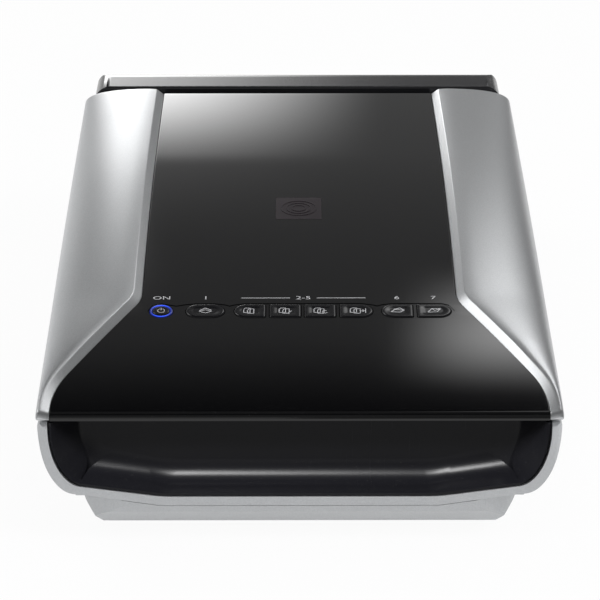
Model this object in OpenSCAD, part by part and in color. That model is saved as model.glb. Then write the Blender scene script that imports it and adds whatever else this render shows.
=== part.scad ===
// Flatbed scanner for film and documents, with a hinged lid that holds a film lamp.
// X runs across the machine, Y from the front edge to the back, Z up from the table.

/* [Overall] */
// Width across the side covers
body_w = 272; // [266:1:290]
// Length from the front edge to the back
body_l = 480; // [476:1:500]
// Height of the crown of the side covers
body_h = 111; // [109:1:120]
// Height of the base's top face
deck_z = 66.5; // [65:0.5:67]
// Thickness of the moulded walls
wall = 2.5; // [2:0.1:2.8]

/* [Lid] */
// Gap between the lid's back edge and the rear housing
lid_gap = 4; // [3.5:0.5:6]
// Height of the lid's lower edge above the table
lid_z = 68; // [68:0.5:69]
// Half width of the black panel along its straight part
panel_half = 85.5; // [84:0.5:90]
// Half width of the black panel at the front edge
panel_flare = 128.9; // [126:0.1:130]
// Height of the panel at its front edge
nose_z = 71; // [71:0.5:73]
// Depth of the panel's crown below the side covers' crown
panel_sunk = 3; // [2:0.5:4]
// Distance of the crown behind the front edge
crown_d = 300; // [280:5:320]
// Fall of the panel from its crown to its back edge
back_fall = 2.6; // [2:0.2:3]
// Width of the bevel along the side covers' inner edge
bevel_w = 5; // [4:0.5:6]
// Radius that rounds the lid's back edge
back_round = 6; // [5:0.5:6]

/* [Rear housing] */
// Depth of the rear housing
block_d = 46; // [40:1:52]
// Depth of the flat strip on its top
block_flat = 20; // [16:1:24]
// Width of the rear housing
block_w = 261; // [250:1:264]
// Radius of its upper corners
block_round = 10; // [6:1:14]
// Depth of its top below the side covers' crown
block_sunk = 4; // [3:0.5:6]

/* [Hand grip] */
// Depth of the hand-grip recess under the lid's edge
grip_d = 20; // [16:1:20]
// Height of the silver lip under the recess
lip_z = 24.4; // [23:0.2:26]
// How far the recess narrows on each side
grip_taper = 17; // [12:1:20]

/* [Platen] */
// Width of the glass that a page lies on
glass_w = 218; // [212:1:220]
// Length of the glass
glass_l = 299; // [290:1:302]
// Thickness of the glass
glass_t = 3; // [2:0.5:3]

/* [Scan carriage] */
// Travel of the carriage
travel = 296; // [280:1:298]
// Length of the carriage along its travel
carriage_l = 52; // [44:1:54]
// Radius of the guide rod
rod_r = 4; // [3:0.5:4]
// Teeth on the drive gear
gear_teeth = 30; // [24:2:30]
// Teeth on the motor's pinion
pinion_teeth = 10; // [10:2:12]
// Module of the gear teeth
gear_module = 0.8; // [0.7:0.05:0.8]
// Radius of the belt's inner face round a pulley
belt_r = 6; // [5:0.5:6]

/* [Buttons] */
// Depth of the buttons, front to back
button_d = 13.3; // [12:0.1:14]
// Travel of a button
button_travel = 1; // [0.6:0.1:1]
// Distance of the button row behind the front edge
button_row_d = 93.5; // [88:0.5:100]
// Radius of the power button
power_r = 4.6; // [4:0.1:5]

/* [Hidden] */
$fn = 48;

// Common clearances: seat is a still joint, run a shaft in its bore, slack a moving edge
seat = 0.25;
run = 0.05;
slack = 0.3;

// Planes and ends shared by most pieces
half_w = body_w / 2;
front_y = -body_l / 2;
back_y = body_l / 2;
lid_l = body_l - block_d - lid_gap;
lid_back_y = front_y + lid_l;
block_y = back_y - block_d;
foot_h = 2;
floor_z = foot_h + wall;
crown_z = body_h - panel_sunk;
function at_d(d) = front_y + d;

// ---- shapes used by several pieces ----

// Stretch of a circle's arc, as points
function arc(cx, cy, r, from, to, steps) =
    [for (i = [0:steps]) let (a = from + (to - from) * i / steps) [cx + r * cos(a), cy + r * sin(a)]];

// An outline in X and Z, drawn for the right half and mirrored to the left
function both_sides(right) =
    concat(right, [for (i = [len(right) - 1:-1:0]) [-right[i][0], right[i][1]]]);

// Extrudes an outline drawn in X and Z along Y
module along_y(y0, y1) {
    translate([0, y1, 0]) rotate([90, 0, 0]) linear_extrude(y1 - y0) children();
}

// Extrudes an outline drawn in Y and Z along X
module along_x(x0, x1) {
    translate([x0, 0, 0]) rotate([90, 0, 90]) linear_extrude(x1 - x0) children();
}

// Flat rectangle with rounded corners; the straight sides stand clear by 2 mm, so only the
// corners trim what it is cut with
module corner_trim(x1, y0, y1, r) {
    clear = 2;
    right = concat(
        [[x1 - r, y0 - clear]], arc(x1 - r, y0 + r, r, -82, -8, 8), [[x1 + clear, y0 + r]],
        [[x1 + clear, y1 - r]], arc(x1 - r, y1 - r, r, 8, 82, 8), [[x1 - r, y1 + clear]]);
    polygon(both_sides(right));
}

// Box from corner to corner
module block(lo, hi) {
    translate(lo) cube(hi - lo);
}

// ---- base casing ----

tray_top = 26;
tray_foot_half = 97;
tray_knee = [103, 5];
tray_side = [112, 17];
tray_half = 116.5;
tray_round = 28;
lip_seam_z = 19.4;
seam_side_z = tray_top - 0.6;
seam_flat = 72;
seam_rise = 112;
rim_round = 4;
casing_round = 5;
casing_inset = 0.5;
casing_half = half_w - casing_inset;
// Half the width that the tray's and the panel's own widths were set for; they follow the body
drawn_half = 136;
waist_drop = half_w - drawn_half;
floor_half = tray_foot_half + waist_drop - wall;

// Cross-section of the base, drawn smaller by the wall for its inside
module base_section(inset) {
    a = casing_half - tray_half - waist_drop - inset;
    b = deck_z - tray_top - inset;
    cz = deck_z;
    polygon(both_sides(concat(
        [[tray_foot_half + waist_drop - inset, foot_h + inset],
         [tray_knee[0] + waist_drop - inset, tray_knee[1] + inset],
         [tray_side[0] + waist_drop - inset, tray_side[1]],
         [tray_half + waist_drop - inset, tray_top]],
        [for (i = [1:13]) let (t = 90 * i / 14.5)
            [tray_half + waist_drop + a * sin(t), cz - b * cos(t)]],
        arc(casing_half - inset - rim_round, deck_z - rim_round - inset, rim_round, 0, 90, 5))));
}

// Side profile of the base: the front leans back below the lip
module base_profile(inset) {
    y0 = front_y + inset;
    y1 = back_y - inset;
    polygon(concat(
        [[y0 + 18, foot_h + inset], [y1 - 8, foot_h + inset], [y1, 12], [y1, deck_z - inset]],
        arc(y0 + rim_round, deck_z - rim_round - inset, rim_round, 90, 180, 5),
        [[y0, lip_seam_z], [y0 + 2, 15], [y0 + 12, 5 + inset]]));
}

module base_form(inset) {
    intersection() {
        along_y(front_y - 3, back_y + 3) base_section(inset);
        along_x(-half_w - 3, half_w + 3) base_profile(inset);
        linear_extrude(deck_z + 3)
            corner_trim(casing_half - inset, front_y + inset, back_y - inset, casing_round);
    }
}

// Everything above the seam between the casing and the tray
module above_seam(gap) {
    flat = seam_flat + waist_drop;
    rise = seam_rise + waist_drop;
    along_y(front_y - 5, back_y + 5) polygon(both_sides([
        [flat, lip_seam_z + gap], [rise, seam_side_z + gap], [half_w + 5, seam_side_z + gap],
        [half_w + 5, deck_z + 5]]));
}

// ---- hand grip ----

rim_band = 5.5;
grip_half = casing_half - rim_band;
grip_curve_z = 62;
grip_curve_w = 17.5;
grip_ledge_rise = 5.6;
bezel_t = 1.8;
bezel_top = deck_z - 0.5;
fillet_r = 6;
grip_back_y = front_y + grip_d;

// Opening of the silver rim, seen from the front
module rim_opening(inset) {
    low_z = lip_z + grip_ledge_rise + inset;
    ledge_x = seam_flat + waist_drop;
    polygon(both_sides(concat(
        [[ledge_x, lip_z + inset]],
        [for (i = [0:8]) let (t = 90 * i / 8)
            [grip_half - grip_curve_w + (grip_curve_w - inset) * sin(t),
             grip_curve_z - (grip_curve_z - low_z) * cos(t)]],
        [[grip_half - inset, deck_z + 5]])));
}

// The recess: a ledge, a fillet and a back wall between two slanted side walls
module grip_space(inset) {
    y_back = grip_back_y - inset;
    z_low = lip_z + bezel_t + inset;
    y_front = front_y - 1;
    intersection() {
        along_y(y_front, grip_back_y + 10) rim_opening(bezel_t + inset);
        along_x(-half_w, half_w) polygon(concat(
            [[y_front, z_low]],
            arc(y_back - fillet_r, z_low + fillet_r, fillet_r, -90, 0, 8),
            [[y_back, deck_z + 5], [y_front, deck_z + 5]]));
        linear_extrude(deck_z + 6) polygon([
            [-grip_half, y_front], [grip_half, y_front],
            [grip_half - grip_taper - inset, y_back], [-grip_half + grip_taper + inset, y_back]]);
    }
}

module lower_tray() {
    color("#a9adb0") {
        difference() {
            intersection() {
                base_form(0);
                linear_extrude(deck_z + 3)
                    corner_trim(tray_half + waist_drop, front_y, back_y, tray_round);
            }
            above_seam(-seat);
            intersection() {
                base_form(wall);
                linear_extrude(deck_z + 3)
                    corner_trim(tray_half + waist_drop - wall, front_y + wall, back_y - wall,
                        tray_round - wall);
            }
            for (p = foot_places) translate([p[0], p[1], foot_h - 1])
                cylinder(r = foot_r + 0.1, h = 2);
            for (p = case_screw_places) translate([p[0], p[1], foot_h - 1]) screw_bore();
            block([lock_x - lock_w / 2 - slack, lock_y - lock_slot / 2, foot_h - 1],
                [lock_x + lock_w / 2 + slack, lock_y + lock_slot / 2, floor_z + 1]);
        }
        for (p = case_screw_places) difference() {
            translate([p[0], p[1], floor_z]) cylinder(r = boss_r, h = boss_top - floor_z);
            translate([p[0], p[1], foot_h - 1]) screw_bore();
        }
        for (p = standoff_places) translate([p[0], p[1], floor_z])
            cylinder(r = 3, h = board_z - floor_z);
    }
}

module middle_casing() {
    color("#b3b6b8") difference() {
        intersection() {
            base_form(0);
            above_seam(0);
        }
        base_form(wall);
        block([-frame_half - seat, front_y + grip_d + bezel_t, deck_z - wall - 1],
            [frame_half + seat, block_y + wall + seat, deck_z + 1]);
        block([-frame_half + 10, block_y, deck_z - wall - 1],
            [frame_half - 10, back_y - wall, deck_z + 1]);
        along_y(front_y - 1, grip_back_y + bezel_t + 1) rim_opening(0);
        block([panel_x0, back_y - wall - 1, panel_z0], [panel_x1, back_y + 1, panel_z1]);
    }
}

module grip_bezel() {
    color("#101113") difference() {
        intersection() {
            grip_space(-bezel_t);
            along_y(front_y + 0.4, grip_back_y + bezel_t + 1) rim_opening(seat);
            block([-half_w, front_y, 0], [half_w, back_y, bezel_top]);
        }
        grip_space(0);
    }
}

// ---- platen ----

frame_half = casing_half - 9.5;
frame_front = grip_back_y + bezel_t + seat;
frame_back = block_y - seat;
frame_t = 4.5;
glass_front = 62.5;
glass_y = front_y + glass_front + glass_l / 2;
glass_ledge = 3;
stem_slot = 8;
post_r = 4;

module platen_frame() {
    color("#2b2c2f") {
        difference() {
            block([-frame_half, frame_front, deck_z - frame_t], [frame_half, frame_back, deck_z]);
            block([-glass_w / 2 - seat, glass_y - glass_l / 2 - seat, deck_z - glass_t],
                [glass_w / 2 + seat, glass_y + glass_l / 2 + seat, deck_z + 1]);
            block([-glass_w / 2 + glass_ledge, glass_y - glass_l / 2 + glass_ledge, 0],
                [glass_w / 2 - glass_ledge, glass_y + glass_l / 2 - glass_ledge, deck_z + 1]);
            for (side = [-1, 1])
                block([side * hinge_x - bracket_w / 2 - slack, stem_y0 - slack, 0],
                    [side * hinge_x + bracket_w / 2 + slack, stem_y1 + slack, deck_z + 1]);
        }
        for (p = case_screw_places) difference() {
            translate([p[0], p[1], boss_top + seat])
                cylinder(r = post_r, h = deck_z - frame_t - boss_top - seat);
            translate([p[0], p[1], boss_top]) cylinder(r = screw_r + 0.02, h = screw_grip + 1);
        }
    }
}

module platen_glass() {
    color("#9fb4b8", 0.4)
        block([-glass_w / 2, glass_y - glass_l / 2, deck_z - glass_t],
            [glass_w / 2, glass_y + glass_l / 2, deck_z]);
}

strip_l = 9;
strip_t = 0.6;

// White reference strip bonded under the back end of the glass
module calibration_strip() {
    back = glass_y + glass_l / 2 - glass_ledge - seat;
    color("white")
        block([-glass_w / 2 + glass_ledge + seat, back - strip_l, deck_z - glass_t - strip_t],
            [glass_w / 2 - glass_ledge - seat, back, deck_z - glass_t]);
}

// ---- rear housing ----

block_top = body_h - block_sunk;
block_base = deck_z + slack;
block_heel = 78;

module block_profile(inset) {
    y0 = block_y + inset;
    y1 = back_y - inset;
    polygon(concat(
        [[y0, block_base - inset]],
        arc(y0 + 1.5, block_top - inset - 1.5, 1.5, 180, 90, 3),
        arc(block_y + block_flat, block_top - 30, 30 - inset, 90, 68, 4),
        arc(y1 - 8, block_heel - 8, 8, 35, 0, 4),
        [[y1, block_base - inset]]));
}

module block_front(inset) {
    w = block_w / 2 - inset;
    top = block_top - inset;
    polygon(both_sides(concat(
        [[w, block_base - 1 - inset]],
        arc(w - block_round, top - block_round, block_round, 0, 90, 8))));
}

module rear_housing() {
    color("#232427") difference() {
        intersection() {
            along_x(-block_w, block_w) block_profile(0);
            along_y(block_y, back_y) block_front(0);
        }
        intersection() {
            along_x(-block_w, block_w) block_profile(wall);
            along_y(block_y, back_y) block_front(wall);
        }
    }
}

// Sockets on the back, carried by the main board
panel_x0 = -100 - waist_drop;
panel_x1 = 20 - waist_drop;
panel_z0 = 27;
panel_z1 = 52;
board_z = 32;
board_t = 1.6;
usb_x = -30 - waist_drop;
usb_w = 12;
usb_h = 11;
usb_l = 16;
dc_x = -72 - waist_drop;
dc_w = 10;
dc_h = 11;
dc_l = 14;
socket_back = back_y - 0.6;
socket_z = board_z + board_t;

module rear_panel() {
    color("#1b1c1e") difference() {
        block([panel_x0 + seat, back_y - wall, panel_z0 + seat],
            [panel_x1 - seat, back_y, panel_z1 - seat]);
        block([usb_x - usb_w / 2 - seat, back_y - wall - 1, socket_z - seat],
            [usb_x + usb_w / 2 + seat, back_y + 1, socket_z + usb_h + seat]);
        block([dc_x - dc_w / 2 - seat, back_y - wall - 1, socket_z - seat],
            [dc_x + dc_w / 2 + seat, back_y + 1, socket_z + dc_h + seat]);
    }
}

usb_mouth = [8.5, 7.8];
usb_tongue = [5.6, 3.2];
tongue_deep = 6;

module usb_socket() {
    mid = socket_z + usb_h / 2;
    color("#c9c9c6") {
        difference() {
            block([usb_x - usb_w / 2, socket_back - usb_l, socket_z],
                [usb_x + usb_w / 2, socket_back, socket_z + usb_h]);
            block([usb_x - usb_mouth[0] / 2, socket_back - 12, mid - usb_mouth[1] / 2],
                [usb_x + usb_mouth[0] / 2, socket_back + 1, mid + usb_mouth[1] / 2]);
        }
        block([usb_x - usb_tongue[0] / 2, socket_back - 13, mid - usb_tongue[1] / 2],
            [usb_x + usb_tongue[0] / 2, socket_back - tongue_deep, mid + usb_tongue[1] / 2]);
    }
}

dc_bore_r = 3.2;
dc_pin_r = 1;
dc_pin_deep = 5;

module power_socket() {
    mid = socket_z + dc_h / 2;
    color("#26262a") {
        difference() {
            block([dc_x - dc_w / 2, socket_back - dc_l, socket_z],
                [dc_x + dc_w / 2, socket_back, socket_z + dc_h]);
            translate([dc_x, socket_back - 11, mid]) rotate([-90, 0, 0])
                cylinder(r = dc_bore_r, h = 12);
        }
        translate([dc_x, socket_back - 12, mid]) rotate([-90, 0, 0])
            cylinder(r = dc_pin_r, h = 12 - dc_pin_deep);
    }
}

board_x0 = -96 - waist_drop;
board_x1 = 34 - waist_drop;
board_y0 = block_y + 3;
board_y1 = back_y - wall - 1;
standoff_places = [for (x = [board_x0 + 5, board_x1 - 5], y = [board_y0 + 4, board_y1 - 10]) [x, y]];

module main_board() {
    chip_z = board_z + board_t;
    color("#1f5a3c") {
        block([board_x0, board_y0, board_z], [board_x1, board_y1, chip_z]);
        block([board_x1 - 46, board_y0 + 8, chip_z], [board_x1 - 26, board_y0 + 28, chip_z + 2]);
        block([board_x1 - 20, board_y0 + 8, chip_z], [board_x1 - 6, board_y0 + 18, chip_z + 2]);
        for (i = [0:3]) translate([board_x0 + 46 + 9 * i, board_y0 + 7, chip_z]) cylinder(r = 3, h = 8);
    }
}

// ---- feet, screws and the transport lock ----

foot_r = 7;
foot_x = 78 + waist_drop;
foot_places = [for (x = [-foot_x, foot_x], y = [front_y + 45, back_y - 35]) [x, y]];
screw_r = 1.5;
screw_head_r = 3;
screw_head_h = 2;
screw_grip = 8;
boss_r = 5;
boss_top = 12;
boss_front_y = frame_front + boss_r + 0.8;
boss_back_y = block_y - 14;
boss_front_x = 74 + waist_drop;
boss_back_x = 88 + waist_drop;
case_screw_places = [[-boss_front_x, boss_front_y], [boss_front_x, boss_front_y],
    [-boss_back_x, boss_back_y], [boss_back_x, boss_back_y]];

module screw_bore() {
    cylinder(r = screw_r + 0.1, h = 30);
    cylinder(r = screw_head_r + 0.2, h = screw_head_h + 1.5);
}

// Pan-head screw with a cross recess, head down
module screw(length) {
    difference() {
        cylinder(r = screw_head_r, h = screw_head_h);
        for (a = [0, 90]) rotate(a) block([-1.6, -0.35, -1], [1.6, 0.35, 1]);
    }
    translate([0, 0, screw_head_h]) cylinder(r = screw_r, h = length);
}

module case_screws() {
    color("#8c8f92") for (p = case_screw_places) translate([p[0], p[1], foot_h + 0.5])
        screw(boss_top + screw_grip - foot_h - screw_head_h - 0.5);
}

module rubber_feet() {
    color("#2a2a2a") for (p = foot_places) translate([p[0], p[1], 0]) {
        cylinder(r1 = foot_r - 0.6, r2 = foot_r, h = 0.6, $fn = 64);
        translate([0, 0, 0.6]) cylinder(r = foot_r, h = foot_h + 0.4);
    }
}

lock_x = 60;
lock_y = back_y - 62;
lock_w = 7;
lock_l = 9;
lock_travel = 6;
lock_slot = lock_l + lock_travel + 2 * slack;

// Slider that holds the carriage still for transport
module lock_switch() {
    y0 = lock_y - lock_slot / 2 + slack;
    color("#33343a") {
        block([lock_x - lock_w / 2, y0, foot_h + 0.2], [lock_x + lock_w / 2, y0 + lock_l, floor_z]);
        for (i = [0:2])
            block([lock_x - lock_w / 2 + 1, y0 + 2 + 2 * i, foot_h - 0.3],
                [lock_x + lock_w / 2 - 1, y0 + 3 + 2 * i, foot_h + 0.2]);
        block([lock_x - lock_w / 2 - 2, y0 + 1, floor_z + 0.1],
            [lock_x + lock_w / 2 + 2, y0 + lock_l - 1, floor_z + 1.4]);
        block([lock_x - lock_w / 2, y0 + 1, floor_z], [lock_x + lock_w / 2, y0 + lock_l - 1, floor_z + 0.1]);
    }
}

// ---- carriage and its guides ----

home_y = glass_y + travel / 2 - 2;
rod_side = 4.5;
rod_x = -floor_half + rod_side;
rod_z = 24;
rail_side = 1.5;
rail_x = floor_half - rail_side;
rail_top = 20;
lug_l = carriage_l - 12;
carriage_top = deck_z - frame_t - 3;
carriage_half = 111;
shelf_z = 38;
keel_half = 80 + waist_drop;
keel_z = 20;
bush_t = 2;
bush_l = 6;
rod_front = frame_front + 2.5;
rod_back = home_y + lug_l / 2 + 18;
holder_t = 8;
slit_w = 9;
inner_t = 2;

module guide_rod() {
    color("#c4c6c8") along_y(rod_front, rod_back) translate([rod_x, rod_z]) circle(rod_r);
}

module rod_holders() {
    half = rod_r + 3;
    color("#3a3b3e") for (y = [rod_front, rod_back - holder_t])
        along_y(y, y + holder_t) difference() {
            polygon([[rod_x - half + 3, floor_z], [rod_x + half, floor_z],
                [rod_x + half, rod_z + rod_r + 2], [rod_x - half, rod_z + rod_r + 2],
                [rod_x - half, floor_z + 3]]);
            translate([rod_x, rod_z]) circle(rod_r + 0.02);
        }
}

module support_rail() {
    color("#bfc1c3") along_y(rod_front, rod_back) {
        translate([rail_x - 6, rail_top - 2]) square([12, 2]);
        translate([rail_x - 1, floor_z]) square([2, rail_top - 2 - floor_z]);
        translate([rail_x - 6, floor_z]) square([7, 1.5]);
    }
}

module carriage_frame() {
    y0 = home_y - carriage_l / 2;
    y1 = home_y + carriage_l / 2;
    lug_y0 = home_y - lug_l / 2;
    lug_y1 = home_y + lug_l / 2;
    ring = rod_r + bush_t;
    color("#1e1f22") difference() {
        union() {
            block([-carriage_half, y0, shelf_z], [carriage_half, y1, carriage_top]);
            block([-keel_half, y0, keel_z], [keel_half, y1, shelf_z]);
            block([rod_x - ring - 2, lug_y0, rod_z - ring - 2],
                [rod_x + ring + 2, lug_y1, shelf_z]);
            block([rail_x - 6, lug_y0, rail_top + 2.4], [rail_x + 6, lug_y1, shelf_z]);
        }
        block([-keel_half + inner_t, y0 + inner_t, keel_z + inner_t],
            [keel_half - inner_t, y1 - inner_t, carriage_top - inner_t]);
        block([-carriage_half + inner_t, y0 + inner_t, shelf_z + inner_t],
            [carriage_half - inner_t, y1 - inner_t, carriage_top - inner_t]);
        block([-carriage_half + 3, home_y - slit_w / 2, carriage_top - inner_t - 1],
            [carriage_half - 3, home_y + slit_w / 2, carriage_top + 1]);
        along_y(lug_y0 - 1, lug_y1 + 1) translate([rod_x, rod_z]) circle(ring + 0.02);
    }
}

module rod_bushes() {
    color("#b08d4a") for (y = [home_y - lug_l / 2, home_y + lug_l / 2 - bush_l])
        along_y(y, y + bush_l) difference() {
            translate([rod_x, rod_z]) circle(rod_r + bush_t);
            translate([rod_x, rod_z]) circle(rod_r + run);
        }
}

module glide_pads() {
    color("#e8e6df") {
        for (y = [home_y - lug_l / 2 + 2, home_y + lug_l / 2 - 10])
            block([rail_x - 5, y, rail_top + slack], [rail_x + 5, y + 8, rail_top + 2.4]);
        for (side = [-1, 1])
            block([side * (carriage_half - 6) - 3, home_y - 20, carriage_top],
                [side * (carriage_half - 6) + 3, home_y - 8, deck_z - frame_t - slack]);
    }
}

lamp_half = carriage_half - inner_t - slack;
lamp_y = home_y + slit_w / 2 + 3;
lamp_pitch = 8;
lamp_count = floor((lamp_half - 3) / lamp_pitch);

// Row of white lamps beside the slit, on its own narrow board
module scan_lamp() {
    top = carriage_top - inner_t;
    color("#f2f3ee") {
        block([-lamp_half, lamp_y, top - 7], [lamp_half, lamp_y + 1.6, top]);
        for (i = [-lamp_count:lamp_count])
            block([i * lamp_pitch - 1.5, lamp_y - 1, top - 5], [i * lamp_pitch + 1.5, lamp_y, top - 3]);
    }
}

mirror_half = 76 + waist_drop;
mirror_t = 2.5;
// Each mirror's place behind the slit, height, breadth and tilt
mirrors = [[0, 28, 12, 45], [-17, 28, 12, -35], [17, 44, 12, 20]];

module fold_mirrors() {
    color("#d5dde2") for (m = mirrors)
        translate([0, home_y + m[0], m[1]]) rotate([m[3], 0, 0])
            block([-mirror_half - inner_t + seat, -m[2] / 2, -mirror_t / 2],
                [mirror_half + inner_t - seat, m[2] / 2, mirror_t / 2]);
}

lens_r = 7;
lens_z = keel_z + inner_t + lens_r + slack;
lens_y = home_y + 6.5;
lens_l = 11;

module lens_barrel() {
    color("#18181b") along_y(lens_y, lens_y + lens_l) translate([0, lens_z]) difference() {
        circle(lens_r);
        circle(lens_r - 3);
    }
    color("#18181b") along_y(lens_y + 4, lens_y + 7) translate([0, lens_z]) circle(lens_r - 2.9);
}

module sensor_board() {
    y = home_y + carriage_l / 2 - inner_t;
    color("#1f5a3c") {
        block([-38, y - 1.9, keel_z + inner_t + slack], [38, y - slack, shelf_z - 2]);
        block([-24, y - 4, lens_z - 4], [24, y - 1.9, lens_z + 4]);
    }
}

// ---- belt drive ----

drive_x = 40;
drive_y = block_y - 28;
idler_y = frame_front + 22;
belt_t = 1;
pulley_lip = 1.6;
belt_low = 10.5;
belt_high = 14.5;
stud_r = 2;
gear_low = 6.5;
gear_high = 9.5;
pinion_x = drive_x + gear_module * (gear_teeth + pinion_teeth) / 2;
clamp_y = home_y;

// Outline of the belt's loop, out to radius r round each pulley
module belt_loop(r) {
    for (y = [idler_y, drive_y]) translate([drive_x, y]) circle(r, $fn = 96);
    translate([drive_x - r, idler_y]) square([2 * r, drive_y - idler_y]);
}

module drive_belt() {
    color("#1a1a1a") translate([0, 0, belt_low]) linear_extrude(belt_high - belt_low)
        difference() {
            belt_loop(belt_r + belt_t);
            belt_loop(belt_r);
        }
}

module belt_clamp() {
    x = drive_x + belt_r + belt_t / 2;
    color("#46484d") difference() {
        block([x - 3.5, clamp_y - 6, belt_low - 1.5], [x + 3.5, clamp_y + 6, keel_z]);
        block([x - belt_t / 2 - slack, clamp_y - 7, belt_low - slack],
            [x + belt_t / 2 + slack, clamp_y + 7, belt_high + slack]);
    }
}

pressure = 25;
backlash = 0.12;
gear_root_gap = 1.3;

// Angle of roll of an involute from base radius rb out to radius r
function roll(r, rb) = r <= rb ? 0 : let (t = sqrt(r * r / rb / rb - 1)) t * 180 / PI - atan(t);

// Outline of a spur gear with involute flanks
function gear_points(teeth, m) =
    let (rp = teeth * m / 2, rb = rp * cos(pressure), rf = rp - gear_root_gap * m, ra = rp + 0.9 * m,
        half = 90 / teeth - backlash / 2 / rp * 180 / PI,
        low = max(rb, rf),
        radii = concat([rf], [for (i = [0:4]) low + (ra - low) * i / 4]),
        flank = [for (r = radii) half + roll(rp, rb) - roll(r, rb)])
    [for (k = [0:teeth - 1], j = [0:2 * len(radii) - 1])
        let (up = j < len(radii), i = up ? j : 2 * len(radii) - 1 - j,
            a = 360 * k / teeth + (up ? -flank[i] : flank[i]))
        [radii[i] * cos(a), radii[i] * sin(a)]];

module pulley(bore) {
    difference() {
        union() {
            translate([0, 0, belt_low - 1]) cylinder(r = belt_r + pulley_lip, h = 0.7);
            translate([0, 0, belt_low - 0.5]) cylinder(r = belt_r - 0.15, h = belt_high - belt_low + 1);
            translate([0, 0, belt_high + 0.3]) cylinder(r = belt_r + pulley_lip, h = 0.7);
        }
        translate([0, 0, belt_low - 2]) cylinder(r = bore, h = 20);
    }
}

module drive_gear() {
    color("#e9e7e0") translate([drive_x, drive_y, 0]) {
        difference() {
            translate([0, 0, gear_low]) linear_extrude(gear_high - gear_low)
                polygon(gear_points(gear_teeth, gear_module));
            translate([0, 0, gear_low - 1]) cylinder(r = stud_r + run, h = 10);
        }
        pulley(stud_r + run);
    }
}

module motor_pinion() {
    color("#c9a24a") translate([pinion_x, drive_y, gear_low]) rotate(180 / pinion_teeth)
        difference() {
            linear_extrude(gear_high - gear_low) polygon(gear_points(pinion_teeth, gear_module));
            translate([0, 0, -1]) cylinder(r = shaft_r + run, h = 10);
        }
}

module idler_pulley() {
    color("#e9e7e0") translate([drive_x, idler_y, 0]) pulley(stud_r + run);
}

shaft_r = 1;
motor_r = 17;
motor_h = 20;
bracket_low = 17;
bracket_t = 1.5;

module drive_motor() {
    low = bracket_low + bracket_t;
    color("#a8abae") translate([pinion_x, drive_y, 0]) {
        translate([0, 0, low]) cylinder(r = motor_r, h = motor_h);
        translate([0, 0, low + motor_h]) cylinder(r = 4, h = 1.5);
        translate([0, 0, low - bracket_t - 1]) cylinder(r = 3.5, h = bracket_t + 1);
        translate([0, 0, gear_low]) cylinder(r = shaft_r, h = low - gear_low);
    }
}

bracket_half = 6;
bracket_leg = 2;
bracket_toe = 3;
bracket_x0 = drive_x - gear_module * (gear_teeth / 2 + 0.9) - 2 - bracket_leg;
bracket_x1 = pinion_x + motor_r + 4;

// Sheet-metal bridge over the gear that carries the motor
module motor_bracket() {
    y0 = drive_y - bracket_half;
    y1 = drive_y + bracket_half;
    color("#b9bbbd") {
        difference() {
            union() {
                translate([pinion_x, drive_y, bracket_low]) cylinder(r = motor_r, h = bracket_t);
                block([bracket_x0, y0, bracket_low], [bracket_x1, y1, bracket_low + bracket_t]);
            }
            translate([pinion_x, drive_y, bracket_low - 1]) cylinder(r = 3.6, h = 5);
        }
        block([bracket_x0, y0, floor_z], [bracket_x0 + bracket_leg, y1, bracket_low]);
        block([bracket_x0 - bracket_toe, y0, floor_z], [bracket_x0, y1, floor_z + 1.2]);
        block([bracket_x1 - bracket_leg, y0, floor_z], [bracket_x1, y1, bracket_low]);
        block([bracket_x1, y0, floor_z], [bracket_x1 + bracket_toe, y1, floor_z + 1.2]);
    }
}

module gear_studs() {
    color("#c4c6c8") {
        translate([drive_x, drive_y, floor_z]) {
            cylinder(r = stud_r, h = belt_high + 1.8 - floor_z);
            cylinder(r = 5, h = gear_low - slack - floor_z);
        }
        translate([drive_x, idler_y, tensioner_top]) {
            cylinder(r = stud_r, h = belt_high + 1.8 - tensioner_top);
            cylinder(r = 4, h = belt_low - 1.3 - tensioner_top);
        }
    }
}

tensioner_t = 1.5;
tensioner_top = floor_z + tensioner_t + 0.2;
spring_r = 2;
spring_wire = 0.4;
spring_turns = 9;
spring_back = idler_y - belt_r - pulley_lip - slack - tensioner_t;
spring_front = frame_front + 3.4;

module belt_tensioner() {
    color("#b9bbbd") {
        block([drive_x - 9, spring_back + 1, floor_z + 0.2], [drive_x + 9, idler_y + 9, tensioner_top]);
        block([drive_x - 9, spring_back, floor_z + 0.2],
            [drive_x + 9, spring_back + tensioner_t, floor_z + 8]);
        block([drive_x - 7, frame_front + 2, floor_z], [drive_x + 7, spring_front, floor_z + 8]);
    }
}

// Tube swept round a helix that lies along Y
module coil(r, wire, length, turns) {
    sides = 6;
    rings = turns * 10;
    points = [for (i = [0:rings]) let (a = 360 * turns * i / rings, y = length * i / rings)
        for (j = [0:sides - 1]) let (b = 360 * j / sides, d = r + wire * cos(b))
            [d * cos(a), y + wire * sin(b), d * sin(a)]];
    faces = concat(
        [[for (j = [0:sides - 1]) j]],
        [for (i = [0:rings - 1], j = [0:sides - 1]) let (n = (j + 1) % sides)
            [i * sides + j, (i + 1) * sides + j, (i + 1) * sides + n]],
        [for (i = [0:rings - 1], j = [0:sides - 1]) let (n = (j + 1) % sides)
            [i * sides + j, (i + 1) * sides + n, i * sides + n]],
        [[for (j = [sides - 1:-1:0]) rings * sides + j]]);
    polyhedron(points, faces);
}

module tension_spring() {
    clear = spring_wire + 0.3;
    color("#cfd1d3") translate([drive_x, spring_front + clear, floor_z + 4.2])
        coil(spring_r, spring_wire, spring_back - spring_front - 2 * clear, spring_turns);
}

cable_t = 0.5;

module flat_cable() {
    color("#e3e4e2")
        block([-62, glass_y, floor_z], [-44, board_y0 + 16, floor_z + cable_t]);
}

// ---- hinges ----

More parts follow.
